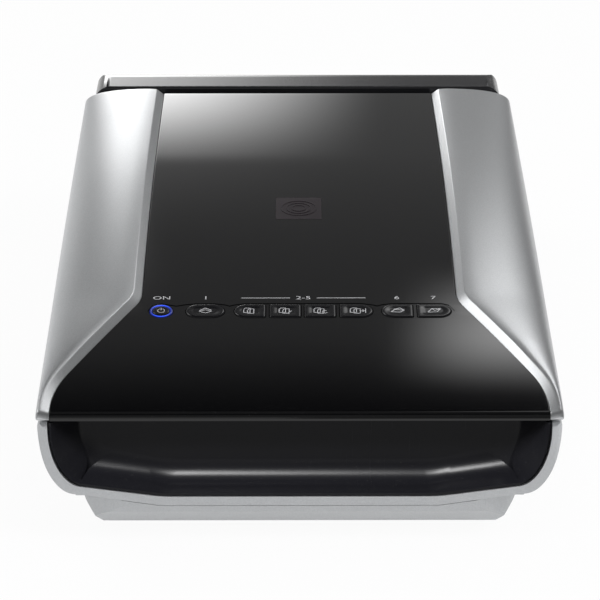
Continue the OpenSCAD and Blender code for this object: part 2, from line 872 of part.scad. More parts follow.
hinge_x = 68;
hinge_y = lid_back_y - 8;
hinge_z = crown_z - 9;
eye_r = 3.6;
pin_r = 2;
bracket_w = 12;
stem_y0 = hinge_y - 19;
stem_y1 = hinge_y - 12;
lug_t = 4;

module hinge_bracket(side) {
    under = deck_z - frame_t;
    translate([side * hinge_x, 0, 0]) color("#6f7275") {
        along_x(-bracket_w / 2, bracket_w / 2) difference() {
            union() {
                polygon([[stem_y0, under - 3], [stem_y1, under - 3], [stem_y1, hinge_z - 10],
                    [hinge_y - 6.5, hinge_z - 4.2], [hinge_y + 1, hinge_z - eye_r + 0.1],
                    [hinge_y, hinge_z + eye_r],
                    [stem_y0 + 4, hinge_z + eye_r], [stem_y0, hinge_z - 1]]);
                translate([hinge_y, hinge_z]) circle(eye_r);
            }
            translate([hinge_y, hinge_z]) circle(pin_r + run);
        }
        block([-bracket_w / 2 - 6, stem_y0 - 6, under - 3], [bracket_w / 2 + 6, stem_y1 + 6, under]);
    }
}

module left_hinge_bracket() {
    hinge_bracket(-1);
}

module right_hinge_bracket() {
    hinge_bracket(1);
}

module hinge_pins() {
    reach = bracket_w / 2 + slack + lug_t;
    color("#c4c6c8") for (side = [-1, 1])
        along_x(side * hinge_x - reach, side * hinge_x + reach)
            translate([hinge_y, hinge_z]) circle(pin_r);
}

// ---- lid: panel and side covers ----

nose_round = 3;
nose_solid = 12;
flare_lead = 4;
flare_turn = 27;
flare_front_r = 68;
flare_back_r = 30;
flare_x = panel_flare + waist_drop;
flare_w = flare_x - panel_half;
flare_front_d = flare_front_r * sin(flare_turn);
flare_front_x = flare_front_r * (1 - cos(flare_turn));
flare_back_d = flare_back_r * sin(flare_turn);
flare_back_x = flare_back_r * (1 - cos(flare_turn));
flare_line_x = flare_w - flare_front_x - flare_back_x;
flare_line_d = flare_line_x / tan(flare_turn);
flare_mid_d = flare_lead + flare_front_d + flare_line_d;
flare_end_d = flare_mid_d + flare_back_d;
shoulder_front = lid_z + 0.5;
shoulder_back = body_h - 13;
dome_power = 2.6;
flange_t = 2.2;

// Height of the black panel's top at distance d behind the front edge
function panel_z(d) = d < crown_d
    ? crown_z - (crown_z - nose_z) * pow(1 - d / crown_d, 2)
    : crown_z - back_fall * pow((d - crown_d) / (lid_l - crown_d), 2);

// Rounding of the front and back edges, as a fall from the panel's height
function edge_fall(d) =
    d < nose_round ? nose_round - sqrt(nose_round * nose_round - pow(nose_round - d, 2))
    : d > lid_l - back_round
        ? back_round - sqrt(max(0, back_round * back_round - pow(d - lid_l + back_round, 2)))
    : 0;

// Half width of the black panel: straight, then a turn, a slant and a turn back
function panel_x(d) =
    d < flare_lead ? flare_x
    : d < flare_lead + flare_front_d
        ? flare_x - flare_front_r * (1 - cos(asin((d - flare_lead) / flare_front_r)))
    : d < flare_mid_d
        ? flare_x - flare_front_x - (d - flare_lead - flare_front_d) * tan(flare_turn)
    : d < flare_end_d
        ? panel_half + flare_back_r * (1 - cos(asin((flare_end_d - d) / flare_back_r)))
    : panel_half;

// Heights of a side cover's crest and of its outer shoulder
function crest_z(d) = panel_z(d) + 0.8 + (panel_sunk - 0.8) * min(1, d / 60);
function shoulder_z(d) = shoulder_front + (shoulder_back - shoulder_front) * d / lid_l;

// Height of a side cover's top at x, inside its wall by inset
function cover_top(d, x, inset) =
    let (x0 = panel_x(d) + bevel_w, t = min(1, max(0, (x - x0) / (half_w - x0))))
    shoulder_z(d) + (crest_z(d) - shoulder_z(d))
        * pow(1 - pow(t, dome_power), 1 / dome_power) - inset;

dome_steps = 10;

// Closed outline of a side cover at distance d: bevel, dome and outer wall, then back inside
// along its hollow, or along its flat underside where the cover is solid
function cover_section(d, hollow) =
    let (fall = edge_fall(d), back = d > lid_l - back_round ? fall : fall * 0.3,
        outer = half_w - back * 0.6, inner = panel_x(d), x0 = min(inner + bevel_w, outer - 1.2),
        edge = max(lid_z + 0.2, panel_z(d) - 0.3 - fall), flange = panel_z(d) - wall - 0.7,
        zs = max(lid_z + 0.4, shoulder_z(d) - back * 0.7), zc = max(zs + 1, crest_z(d) - fall),
        under_x = outer - wall, under_z = crest_z(d) - wall, under_s = min(zs, under_z - 0.5),
        lip_x = inner + flange_t)
    concat(
        [[inner, edge]],
        [for (i = [0:dome_steps]) dome_point(x0, outer, zs, zc, i)],
        [[outer, lid_z]],
        hollow
            ? concat([[under_x, lid_z]],
                [for (i = [dome_steps:-1:0])
                    dome_point(min(x0, under_x - 0.4), under_x, under_s, under_z, i)],
                [[lip_x, max(flange + 0.1, panel_z(d) - wall + 0.8)], [lip_x, flange],
                 [inner, flange]])
            : concat([for (i = [0:dome_steps + 3])
                [under_x + (lip_x - under_x) * i / (dome_steps + 3), lid_z]],
                [[inner, lid_z]]));

function dome_point(x0, x1, z0, z1, i) = let (a = 90 * i / dome_steps)
    [x0 + (x1 - x0) * pow(sin(a), 2 / dome_power), z0 + (z1 - z0) * pow(cos(a), 2 / dome_power)];

// Solid lofted through outlines in X and Z, one at each distance in ds. Each end is closed by
// strips between the outline's top and underside
module loft(sections, ds) {
    n = len(sections[0]);
    last = (len(ds) - 1) * n;
    turn = dome_steps + 1;
    points = [for (k = [0:len(ds) - 1]) for (p = sections[k]) [p[0], at_d(ds[k]), p[1]]];
    end = concat(
        [for (k = [0:dome_steps]) [k, k + 1, n - 2 - k]],
        [for (k = [0:dome_steps]) [k, n - 2 - k, n - 1 - k]],
        [for (k = [turn + 1:n - 2 - turn]) [turn, k, k + 1]]);
    faces = concat(
        end,
        [for (k = [0:len(ds) - 2], j = [0:n - 1]) let (a = k * n, b = a + n, m = (j + 1) % n)
            [a + j, b + j, a + m]],
        [for (k = [0:len(ds) - 2], j = [0:n - 1]) let (a = k * n, b = a + n, m = (j + 1) % n)
            [a + m, b + j, b + m]],
        [for (f = end) [last + f[2], last + f[1], last + f[0]]]);
    polyhedron(points, faces);
}

flare_ds = [for (i = [0:9]) flare_lead + (flare_end_d - flare_lead) * i / 9];
long_ds = [for (i = [1:8]) flare_end_d + (lid_l - back_round - flare_end_d) * i / 8];
cover_ds = concat([0, 1.2, nose_round, flare_lead, nose_solid - 0.5, nose_solid + 0.5],
    [for (d = flare_ds) if (d > nose_solid + 2) d], long_ds,
    [for (a = [30, 55, 75, 86]) lid_l - back_round + back_round * sin(a)]);

function is_hollow(d) = d > nose_solid && d < lid_l - back_round + 0.1;

module side_cover() {
    loft([for (d = cover_ds) cover_section(d, is_hollow(d))], cover_ds);
}

module right_side_cover() {
    color("#b9bcbe") side_cover();
}

module left_side_cover() {
    color("#b9bcbe") mirror([1, 0, 0]) side_cover();
}

panel_steps = 24;
back_skirt_z = hinge_z - 4;

// Side profile of the panel: a skin with a solid nose and a turned-down back edge
module panel_profile() {
    top = [for (d = concat([0, 0.4, 1, 1.9, nose_round],
        [for (i = [1:panel_steps]) nose_round + (lid_l - back_round - nose_round) * i / panel_steps],
        [for (a = [20, 40, 60, 80, 90]) lid_l - back_round + back_round * sin(a)]))
        [at_d(d), panel_z(d) - edge_fall(d)]];
    inner_r = back_round - wall;
    under = [for (i = [panel_steps:-1:0])
        let (d = nose_solid - seat + (lid_l - back_round - nose_solid + seat) * i / panel_steps)
        [at_d(d), panel_z(d) - wall]];
    back_z = panel_z(lid_l - back_round) - back_round;
    polygon(concat(top, [[lid_back_y, back_skirt_z], [lid_back_y - wall, back_skirt_z]],
        arc(lid_back_y - back_round, back_z, inner_r, 0, 80, 4), under,
        [[at_d(nose_solid - seat), lid_z], [front_y, lid_z]]));
}

module panel_plan(gap) {
    polygon(both_sides([for (d = concat([0], flare_ds, [lid_l])) [panel_x(d) - gap, at_d(d)]]));
}

// Slope of the panel, in degrees, ahead of its crown
function panel_slope(d) = atan(2 * (crown_z - nose_z) / crown_d * (1 - d / crown_d));

// Places what follows on the panel's skin at distance d, square to it
module on_panel(d) {
    translate([0, at_d(d), panel_z(d)]) rotate([panel_slope(d), 0, 0]) children();
}

module on_button_row() {
    on_panel(button_row_d) children();
}

power_x = -74.6;
ring_t = 1.5;
ring_gap = 0.25;
button_gap = 0.3;
// Each key's left end, right end, and whether those ends are round
auto_key = [-61.3, -40.2, true, true];
function_keys = [[-35.2, -18.1, true, false], [-16.1, 1, false, false], [2.7, 19.8, false, false],
    [21.8, 39.8, false, true]];
copy_key = [44.5, 61.5, true, false];
mail_key = [63.6, 82.1, false, true];
all_keys = concat([auto_key], function_keys, [copy_key, mail_key]);
power_well_r = power_r + 2 * ring_gap + ring_t + 0.1;

module key_outline(key, grow) {
    r = button_d / 2;
    x0 = key[0] + (key[2] ? r : 0);
    x1 = key[1] - (key[3] ? r : 0);
    translate([x0 - (key[2] ? 0 : grow), -r - grow])
        square([x1 - x0 + (key[2] ? 0 : grow) + (key[3] ? 0 : grow), 2 * (r + grow)]);
    if (key[2]) translate([x0, 0]) circle(r + grow);
    if (key[3]) translate([x1, 0]) circle(r + grow);
}

tile_d = 214;
tile_w = 26.4;
tile_l = 30;
tile_deep = 1;

module top_panel() {
    color("#0d0e10") difference() {
        intersection() {
            along_x(-half_w, half_w) panel_profile();
            translate([0, 0, lid_z - 5]) linear_extrude(body_h) panel_plan(seat);
        }
        on_button_row() translate([0, 0, -8]) linear_extrude(16) {
            for (key = all_keys) key_outline(key, button_gap);
            translate([power_x, 0]) circle(power_well_r);
        }
        on_panel(tile_d) block([-tile_w / 2, -tile_l / 2, -tile_deep], [tile_w / 2, tile_l / 2, 5]);
    }
}

// Small plate let into the panel, with three raised rings
module emblem_tile() {
    edge = 0.15;
    color("#2e2a30") on_panel(tile_d) translate([0, 0, -tile_deep]) {
        block([-tile_w / 2 + edge, -tile_l / 2 + edge, 0], [tile_w / 2 - edge, tile_l / 2 - edge,
            tile_deep]);
        for (r = [4, 7, 10]) difference() {
            cylinder(r = r + 0.3, h = tile_deep + 0.15);
            translate([0, 0, -1]) cylinder(r = r - 0.3, h = tile_deep + 3);
        }
    }
}

// ---- buttons ----

key_h = 3.3;
switch_h = 2;
key_proud = 0.3;

module key_button(key) {
    color("#15161a") on_button_row() {
        translate([0, 0, key_proud - key_h]) linear_extrude(key_h) key_outline(key, 0);
        translate([(key[0] + key[1]) / 2 - 3, -3, key_proud - key_h - 1]) cube([6, 6, 1]);
    }
}

module power_button() {
    color("#15161a") on_button_row() {
        translate([power_x, 0, key_proud - key_h]) cylinder(r = power_r, h = key_h);
        translate([power_x - 3, -3, key_proud - key_h - 1]) cube([6, 6, 1]);
    }
}

module auto_button() {
    key_button(auto_key);
}

module function_button_1() {
    key_button(function_keys[0]);
}

module function_button_2() {
    key_button(function_keys[1]);
}

module function_button_3() {
    key_button(function_keys[2]);
}

module function_button_4() {
    key_button(function_keys[3]);
}

module copy_button() {
    key_button(copy_key);
}

module mail_button() {
    key_button(mail_key);
}

// Clear ring that glows round the power button
module power_light_ring() {
    color("#4aa3ff") on_button_row() translate([power_x, 0, -wall - 1]) difference() {
        cylinder(r = power_r + ring_gap + ring_t, h = wall + 1.1);
        translate([0, 0, -1]) cylinder(r = power_r + ring_gap, h = wall + 4);
    }
}

switch_top = key_proud - key_h - 1 - button_travel - slack;
key_board_top = switch_top - switch_h;

module button_board() {
    places = concat([power_x], [for (key = all_keys) (key[0] + key[1]) / 2]);
    color("#1f5a3c") on_button_row() {
        translate([-panel_half + 1, -button_d / 2, key_board_top - 1.6])
            cube([2 * panel_half - 2, button_d, 1.6]);
        for (x = places) translate([x - 3, -3, key_board_top]) cube([6, 6, switch_h]);
    }
}

// ---- lid: inner shell, film lamp and mat ----

shell_half = half_w - wall - slack;
shell_front = at_d(nose_solid) + 0.8;
shell_back = lid_back_y - wall - seat;
plate_back = lid_back_y - back_round - slack;
shell_t = 2.5;
mat_w = glass_w - 2;
mat_l = glass_l - 4;
mat_low = deck_z + 0.4;
mat_t = 5.6;
mat_slide = 10;
pan_top = mat_low + mat_t + slack;
window_w = 76;
window_l = 214;
window_t = 1.5;
guide_t = 4;
rear_wall_top = back_skirt_z - seat;
notch_half = bracket_w / 2 + 1;
lid_post_r = 4;
lid_screw_l = 4.5;
post_x = 118 + waist_drop;
// Posts under the panel and under the covers, as distance from the front and place across
lid_posts = [[30, 60], [30, -60], [lid_l - 45, 40], [lid_l - 45, -40], [210, post_x], [210, -post_x],
    [lid_l - 70, post_x], [lid_l - 70, -post_x]];

function post_top(p) = abs(p[1]) < panel_half
    ? min(panel_z(p[0] - lid_post_r), panel_z(p[0] + lid_post_r)) - wall - slack
    : cover_top(p[0], abs(p[1]) + lid_post_r, wall) - 1.5;

module lid_inner_shell() {
    y0 = glass_y - mat_l / 2 - mat_slide - slack;
    y1 = glass_y + mat_l / 2 + slack;
    x = mat_w / 2 + slack;
    color("#3a3b3e") {
        difference() {
            union() {
                block([-shell_half, shell_front, lid_z], [shell_half, plate_back, lid_z + shell_t]);
                block([-x - 2, y0 - 2, lid_z], [x + 2, y1 + 2, pan_top + 2]);
                block([-panel_half + 4, plate_back - 1, lid_z],
                    [panel_half - 4, shell_back, lid_z + shell_t]);
                block([-panel_half + 4, lid_back_y - wall - seat - 2, lid_z],
                    [panel_half - 4, shell_back, rear_wall_top]);
                for (side = [-1, 1])
                    block([side * hinge_x - notch_half - lug_t - 2, hinge_y - 5, lid_z],
                        [side * hinge_x + notch_half + lug_t + 2, hinge_y + 3.5, hinge_z + 3]);
            }
            block([-x, y0, lid_z - 1], [x, y1, pan_top]);
            block([-window_w / 2, glass_y - window_l / 2, lid_z], [window_w / 2, glass_y + window_l / 2,
                pan_top + 3]);
            for (side = [-1, 1]) {
                block([side * hinge_x - notch_half, stem_y0 - 3, lid_z - 1],
                    [side * hinge_x + notch_half, lid_back_y + 1, hinge_z + 10]);
                along_x(side * hinge_x - 20, side * hinge_x + 20)
                    translate([hinge_y, hinge_z]) circle(pin_r + 0.02);
            }
            for (p = lid_posts) translate([p[1], at_d(p[0]), lid_z - 1]) screw_bore();
        }
        for (p = lid_posts) translate([p[1], at_d(p[0]), lid_z]) difference() {
            cylinder(r = lid_post_r, h = post_top(p) - lid_z);
            translate([0, 0, -1]) screw_bore();
        }
    }
}

module lid_screws() {
    color("#8c8f92") for (p = lid_posts) translate([p[1], at_d(p[0]), lid_z + 0.3])
        screw(lid_screw_l);
}

module diffuser_window() {
    low = pan_top + 2;
    color("#f4f5f2", 0.8)
        block([-window_w / 2 - 3, glass_y - window_l / 2 - 3, low],
            [window_w / 2 + 3, glass_y + window_l / 2 + 3, low + window_t]);
}

module light_guide() {
    low = pan_top + 2 + window_t;
    color("#dfe8ee", 0.6)
        block([-window_w / 2, glass_y - window_l / 2, low],
            [window_w / 2, glass_y + window_l / 2, low + guide_t]);
}

// Strip of lamps that shines into one edge of the light guide
module film_lamp_board() {
    low = pan_top + 2 + window_t;
    x = window_w / 2 + 0.3;
    count = floor((window_l / 2 - 3) / lamp_pitch);
    color("#e9efe6") {
        block([x + 1, glass_y - window_l / 2, low], [x + 2.6, glass_y + window_l / 2, low + guide_t + 2]);
        for (i = [-count:count]) translate([x, glass_y + i * lamp_pitch, low + 1])
            block([0, -1.5, 0], [1, 1.5, 2]);
    }
}

bumper_x = frame_half - 9;
bumper_places = [for (x = [-bumper_x, bumper_x], y = [frame_front + 18, lid_back_y - 45]) [x, y]];

module lid_bumpers() {
    color("#2a2a2a") for (p = bumper_places) translate([p[0], p[1], deck_z + slack])
        cylinder(r = 3, h = lid_z - deck_z - slack);
}

// White pad that backs a page and comes out for film
module document_mat() {
    color("white") {
        block([-mat_w / 2, glass_y - mat_l / 2, mat_low],
            [mat_w / 2, glass_y + mat_l / 2, mat_low + mat_t]);
    }
}

lower_tray();
middle_casing();
grip_bezel();
platen_frame();
platen_glass();
calibration_strip();
rear_housing();
rear_panel();
usb_socket();
power_socket();
main_board();
guide_rod();
rod_holders();
support_rail();
drive_motor();
motor_bracket();
gear_studs();
drive_belt();
belt_tensioner();
tension_spring();
flat_cable();
rubber_feet();
case_screws();
left_hinge_bracket();
right_hinge_bracket();
lock_switch();
carriage_frame();
scan_lamp();
fold_mirrors();
lens_barrel();
sensor_board();
belt_clamp();
rod_bushes();
glide_pads();
motor_pinion();
drive_gear();
idler_pulley();
top_panel();
left_side_cover();
right_side_cover();
lid_inner_shell();
film_lamp_board();
light_guide();
diffuser_window();
button_board();
power_light_ring();
emblem_tile();
lid_screws();
hinge_pins();
lid_bumpers();
document_mat();
power_button();
auto_button();
function_button_1();
function_button_2();
function_button_3();
function_button_4();
copy_button();
mail_button();
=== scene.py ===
from math import atan, cos, pi, radians, sin, sqrt, tan

import bmesh
import bpy
from mathutils import Matrix, Vector


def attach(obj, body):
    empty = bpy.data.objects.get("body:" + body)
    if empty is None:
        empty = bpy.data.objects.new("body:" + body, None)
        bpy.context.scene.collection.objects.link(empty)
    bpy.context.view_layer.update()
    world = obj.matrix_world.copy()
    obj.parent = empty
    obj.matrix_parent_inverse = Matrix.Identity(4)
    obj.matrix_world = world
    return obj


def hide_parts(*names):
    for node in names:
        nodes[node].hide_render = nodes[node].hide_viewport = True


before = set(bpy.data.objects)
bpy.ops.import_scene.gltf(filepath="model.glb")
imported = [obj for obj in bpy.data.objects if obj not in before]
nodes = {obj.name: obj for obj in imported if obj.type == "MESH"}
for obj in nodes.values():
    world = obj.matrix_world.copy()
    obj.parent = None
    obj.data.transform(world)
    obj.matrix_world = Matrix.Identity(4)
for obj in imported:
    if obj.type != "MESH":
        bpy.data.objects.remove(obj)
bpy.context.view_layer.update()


MM = 0.001

# ---- sizes of the machine, in millimetres; D is a distance from the lid's front ----
HALF_W = 136.0
FRONT_Y, BACK_Y = -240.0, 240.0
DECK_Z, LID_Z, WALL, SEAT = 66.5, 68.0, 2.5, 0.25
LID_L, BLOCK_Y = 430.0, 194.0
# lid: the panel's crown and ends, its flare at the front, and the side covers
CROWN_Z, NOSE_Z, CROWN_D, BACK_FALL, SUNK = 108.0, 71.0, 300.0, 2.6, 3.0
NOSE_ROUND, NOSE_SOLID, BACK_ROUND, BACK_SKIRT_Z = 3.0, 12.0, 6.0, 95.0
PANEL_HALF, PANEL_FLARE, PANEL_SOFT = 85.5, 128.9, 0.45
FLARE_LEAD, FLARE_TURN, FLARE_FRONT_R, FLARE_BACK_R = 4.0, radians(27), 68.0, 30.0
SHOULDER_FRONT, SHOULDER_BACK, DOME_POWER, FLANGE_T = 68.5, 98.0, 2.6, 2.2
CREST_LIFT, CREST_RUN, CREST_ROUND, CREST_SHARE = 0.8, 60.0, 1.2, 0.22
BEVEL_W, BEVEL_DROP, BEVEL_SOFT, COVER_SOFT = 5.0, 0.3, 0.45, 0.4
# rear block
BLOCK_TOP, BLOCK_BASE, BLOCK_HALF, BLOCK_FLAT, BLOCK_ROUND = 107.0, 66.8, 130.5, 20.0, 10.0
BLOCK_EDGE_R, BLOCK_FALL_R, BLOCK_FOOT_R, BLOCK_FOOT_Z = 1.5, 30.0, 8.0, 70.0
# casing and tray, and the casing's openings
CASING_HALF, RIM_ROUND, CASING_ROUND = 135.5, 4.0, 5.0
TRAY_TOP, TRAY_HALF = 26.0, 116.5
LIP_SEAM_Z, SEAM_SIDE_Z, SEAM_FLAT, SEAM_RISE = 19.4, 25.4, 72.0, 112.0
FRAME_HALF, FRAME_FRONT, SOCKETS_X, SOCKETS_Z = 126.0, 21.8, (-100.0, 20.0), (27.0, 52.0)
# grip: its opening, its liner and the liner's back wall
GRIP_HALF, GRIP_CURVE_Z, GRIP_CURVE_W = 130.0, 62.0, 17.5
GRIP_LEDGE_RISE, GRIP_TAPER, BEZEL_T, LIP_Z = 5.6, 17.0, 1.8, 24.4
GRIP_BACK_Y, FILLET_R, GRIP_CORNER_R = -220.0, 11.0, 10.0
WALL_CORNER_W, WALL_CORNER_Z = 15.0, 62.0
GRIP_EDGE, RIM_TURN, LIP_BEND_R = 0.4, radians(4.4), 80.0
# what is set into the panel
BUTTON_D, BUTTON_ROW_D, POWER_R, POWER_X = 13.3, 93.5, 4.6, -74.6
GROOVE_REACH, GROOVE_DEEP, KEY_GAP, TILE_DEEP, THROUGH = 1.1, 0.35, 0.3, 1.0, 8.0
RING_IN, RING_OUT = POWER_R + 0.25, POWER_R + 1.75
TILE_D, TILE_W, TILE_L = 214.0, 26.4, 30.0
# glass
GLASS_W, GLASS_L, GLASS_Y = 218.0, 299.0, -28.0
# each key's left and right end, and whether that end is round
KEYS = {
    "auto": (-61.3, -40.2, True, True),
    "function_1": (-35.2, -18.1, True, False),
    "function_2": (-16.1, 1.0, False, False),
    "function_3": (2.7, 19.8, False, False),
    "function_4": (21.8, 39.8, False, True),
    "copy": (44.5, 61.5, True, False),
    "mail": (63.6, 82.1, False, True),
}

# ---- camera, set to the photograph's view ----


def put_in_scene(name, data):
    made = bpy.data.objects.new(name, data)
    bpy.context.scene.collection.objects.link(made)
    return made


def set_camera():
    sensor_mm, picture_px, focal_px = 36.0, 600.0, 3013.0
    data = bpy.data.cameras.new("photo_camera")
    data.sensor_width = sensor_mm
    data.lens = focal_px / picture_px * sensor_mm
    camera = put_in_scene("photo_camera", data)
    camera.location = (-4.7 * MM, -1652 * MM, 705 * MM)
    camera.rotation_euler = (radians(68.0), 0.0, radians(-0.194))
    bpy.context.scene.camera = camera


set_camera()

# ---- node helpers ----


def node(tree, kind, links=None, **settings):
    """A new node; kind is what its type is called after ShaderNode or GeometryNode."""
    made = tree.nodes.new(tree.bl_idname.replace("Tree", "") + kind)
    for name, value in settings.items():
        setattr(made, name, value)
    for name, value in (links or {}).items():
        socket = made.inputs[name]
        if isinstance(value, bpy.types.NodeSocket):
            tree.links.new(value, socket)
        else:
            socket.default_value = value
    return made


def calc(tree, operation, *values, clamp=False):
    made = tree.nodes.new("ShaderNodeMath")
    made.operation = operation
    made.use_clamp = clamp
    for i, value in enumerate(values):
        if isinstance(value, bpy.types.NodeSocket):
            tree.links.new(value, made.inputs[i])
        else:
            made.inputs[i].default_value = value
    return made.outputs[0]


def product(tree, *values):
    total = values[0]
    for value in values[1:]:
        total = calc(tree, "MULTIPLY", total, value)
    return total


def give(tree, result, outputs):
    for title, socket in outputs.items():
        tree.links.new(socket, result.inputs[title])


def shader_group(name, inputs, outputs):
    tree = bpy.data.node_groups.new(name, "ShaderNodeTree")
    for title, value in inputs.items():
        socket = tree.interface.new_socket(title, in_out="INPUT", socket_type="NodeSocketFloat")
        socket.default_value = value
    for title, kind in outputs.items():
        tree.interface.new_socket(title, in_out="OUTPUT", socket_type="NodeSocket" + kind)
    return tree, tree.nodes.new("NodeGroupInput").outputs, tree.nodes.new("NodeGroupOutput")


def object_place(tree):
    return node(tree, "TexCoord").outputs["Object"]


def noise(tree, place, scale, detail, rough=0.5):
    made = node(tree, "TexNoise", {"Vector": place, "Scale": scale, "Detail": detail,
                                   "Roughness": rough})
    return made.outputs["Fac"]


def spread_out(tree, varying, spread):
    """A noise turned into a change of up to half the spread either way."""
    return product(tree, calc(tree, "SUBTRACT", varying, 0.5), spread)


# what a finish is made of, as its group gives it
FINISH_PARTS = {"Tone": "Float", "Roughness": "Float", "Normal": "Vector"}


# Fine moulded grain: two noises give the bump, a slow one the tone and the roughness
def make_grain_group():
    tree, given, result = shader_group(
        "moulded_grain", {"Grain Size": 0.0004, "Depth": 0.2, "Roughness": 0.4, "Spread": 0.05},
        FINISH_PARTS)
    place = object_place(tree)
    fine = noise(tree, place, calc(tree, "DIVIDE", 1.0, given["Grain Size"]), 3.0, 0.6)
    slow = noise(tree, place, 22.0, 4.0)
    bump = node(tree, "Bump", {"Strength": given["Depth"], "Distance": 0.00004, "Height": fine})
    lift = product(tree, spread_out(tree, slow, given["Spread"]), 2.0)
    tone = calc(tree, "ADD", product(tree, fine, 0.35), product(tree, slow, 0.65))
    give(tree, result, {"Tone": tone, "Normal": bump.outputs["Normal"],
                        "Roughness": calc(tree, "ADD", given["Roughness"], lift, clamp=True)})
    return tree


# Metallic flake in paint: tiny cells, each turned its own way and of its own brightness
def make_flake_group():
    tree, given, result = shader_group(
        "metal_flake",
        {"Flake Size": 0.0003, "Sparkle": 0.25, "Roughness": 0.35, "Spread": 0.05}, FINISH_PARTS)
    place = object_place(tree)
    scale = calc(tree, "DIVIDE", 1.0, given["Flake Size"])
    cells = node(tree, "TexVoronoi", {"Vector": place, "Scale": scale})
    grey = node(tree, "RGBToBW", {"Color": cells.outputs["Color"]}).outputs["Val"]
    bump = node(tree, "Bump", {"Strength": given["Sparkle"], "Distance": 0.00002, "Height": grey})
    lift = spread_out(tree, noise(tree, place, 14.0, 3.0), given["Spread"])
    give(tree, result, {"Tone": grey, "Normal": bump.outputs["Normal"],
                        "Roughness": calc(tree, "ADD", given["Roughness"], lift, clamp=True)})
    return tree


# Handling marks on polished plastic: faint dust and long hairlines in the roughness
def make_polish_group():
    tree, given, result = shader_group(
        "polish_wear", {"Roughness": 0.05, "Haze": 0.05}, {"Tone": "Float", "Roughness": "Float"})
    place = object_place(tree)
    streak = node(tree, "Mapping", {"Vector": place, "Scale": (900.0, 18.0, 18.0),
                                    "Rotation": (0.0, 0.0, 0.4)})
    hair = noise(tree, streak.outputs["Vector"], 1.0, 2.0)
    specks = node(tree, "MapRange", {"Value": noise(tree, place, 1500.0, 1.0), "From Min": 0.70,
                                     "From Max": 0.78})
    haze = product(tree, noise(tree, place, 9.0, 4.0), hair, given["Haze"])
    give(tree, result, {"Tone": specks.outputs["Result"],
                        "Roughness": calc(tree, "ADD", given["Roughness"], haze, clamp=True)})
    return tree


GRAIN, FLAKE, POLISH = make_grain_group(), make_flake_group(), make_polish_group()


def place_group(tree, group, values):
    made = tree.nodes.new("ShaderNodeGroup")
    made.node_tree = group
    for name, value in values.items():
        made.inputs[name].default_value = value
    return made


def two_tone(tree, tone, dark, light, target):
    mix = node(tree, "Mix", {"Factor": tone}, data_type="RGBA")
    mix.inputs["A"].default_value = (*dark, 1.0)
    mix.inputs["B"].default_value = (*light, 1.0)
    tree.links.new(mix.outputs["Result"], target)


def finish(name, dark, light, group, inputs, values, driven=("Roughness", "Normal")):
    """A material with its tone, roughness and bump from a group, and the rest as set."""
    made = bpy.data.materials.new(name)
    made.use_nodes = True
    tree = made.node_tree
    shader = tree.nodes["Principled BSDF"]
    placed = place_group(tree, group, inputs)
    two_tone(tree, placed.outputs["Tone"], dark, light, shader.inputs["Base Color"])
    for title in driven:
        if title in placed.outputs:
            tree.links.new(placed.outputs[title], shader.inputs[title])
    for title, value in values.items():
        shader.inputs[title].default_value = value
    return made


def grained(name, dark, light, rough, size=0.0004, depth=0.2, spread=0.05, **values):
    return finish(name, dark, light, GRAIN, {"Grain Size": size, "Depth": depth,
                                             "Roughness": rough, "Spread": spread}, values)


def flaked(name, dark, light, rough, sparkle, **values):
    return finish(name, dark, light, FLAKE, {"Sparkle": sparkle, "Roughness": rough}, values)


def polished(name, colour, dust_colour, rough, haze, **values):
    return finish(name, colour, dust_colour, POLISH, {"Roughness": rough, "Haze": haze}, values)


# A glow that is strongest on one circle in plan, with a painted highlight that brightens it towards
# the circle's two ends in y
def make_glow_and_highlight_group():
    tree, given, result = shader_group(
        "ring_glow_and_highlight", {"Centre X": 0.0, "Centre Y": 0.0, "Radius": 0.005, "Width": 0.0005},
        {"Glow And Highlight": "Float"})
    place = object_place(tree)
    split = node(tree, "SeparateXYZ", {"Vector": place})
    across = calc(tree, "SUBTRACT", split.outputs["X"], given["Centre X"])
    along = calc(tree, "SUBTRACT", split.outputs["Y"], given["Centre Y"])
    away = calc(tree, "SQRT", calc(tree, "ADD", product(tree, across, across),
                                   product(tree, along, along)))
    off = calc(tree, "ABSOLUTE", calc(tree, "SUBTRACT", away, given["Radius"]))
    line = node(tree, "MapRange", {"Value": off, "From Min": given["Width"], "From Max": 0.0},
                interpolation_type="SMOOTHSTEP")
    # painted highlight: the glow is raised towards the ring's front and back ends in y and is
    # dimmest at its sides
    ends = calc(tree, "POWER", calc(tree, "ABSOLUTE", calc(tree, "DIVIDE", along, away)), 2.0)
    lit = calc(tree, "ADD", 0.12, product(tree, ends, 0.88))
    give(tree, result, {"Glow And Highlight": product(tree, line.outputs["Result"], lit)})
    return tree


def glowing(name, colour, strength, rough, centre, radius, width):
    made = finish(name, (0.004, 0.005, 0.012), (0.006, 0.008, 0.020), GRAIN,
                  {"Grain Size": 0.0006, "Roughness": rough}, {}, driven=("Roughness",))
    tree = made.node_tree
    shader = tree.nodes["Principled BSDF"]
    glow = place_group(tree, make_glow_and_highlight_group(), {"Centre X": centre[0], "Centre Y": centre[1],
                                                 "Radius": radius, "Width": width})
    two_tone(tree, glow.outputs["Glow And Highlight"], (0.0, 0.002, 0.04), colour,
             shader.inputs["Emission Color"])
    shader.inputs["Emission Strength"].default_value = strength
    return made


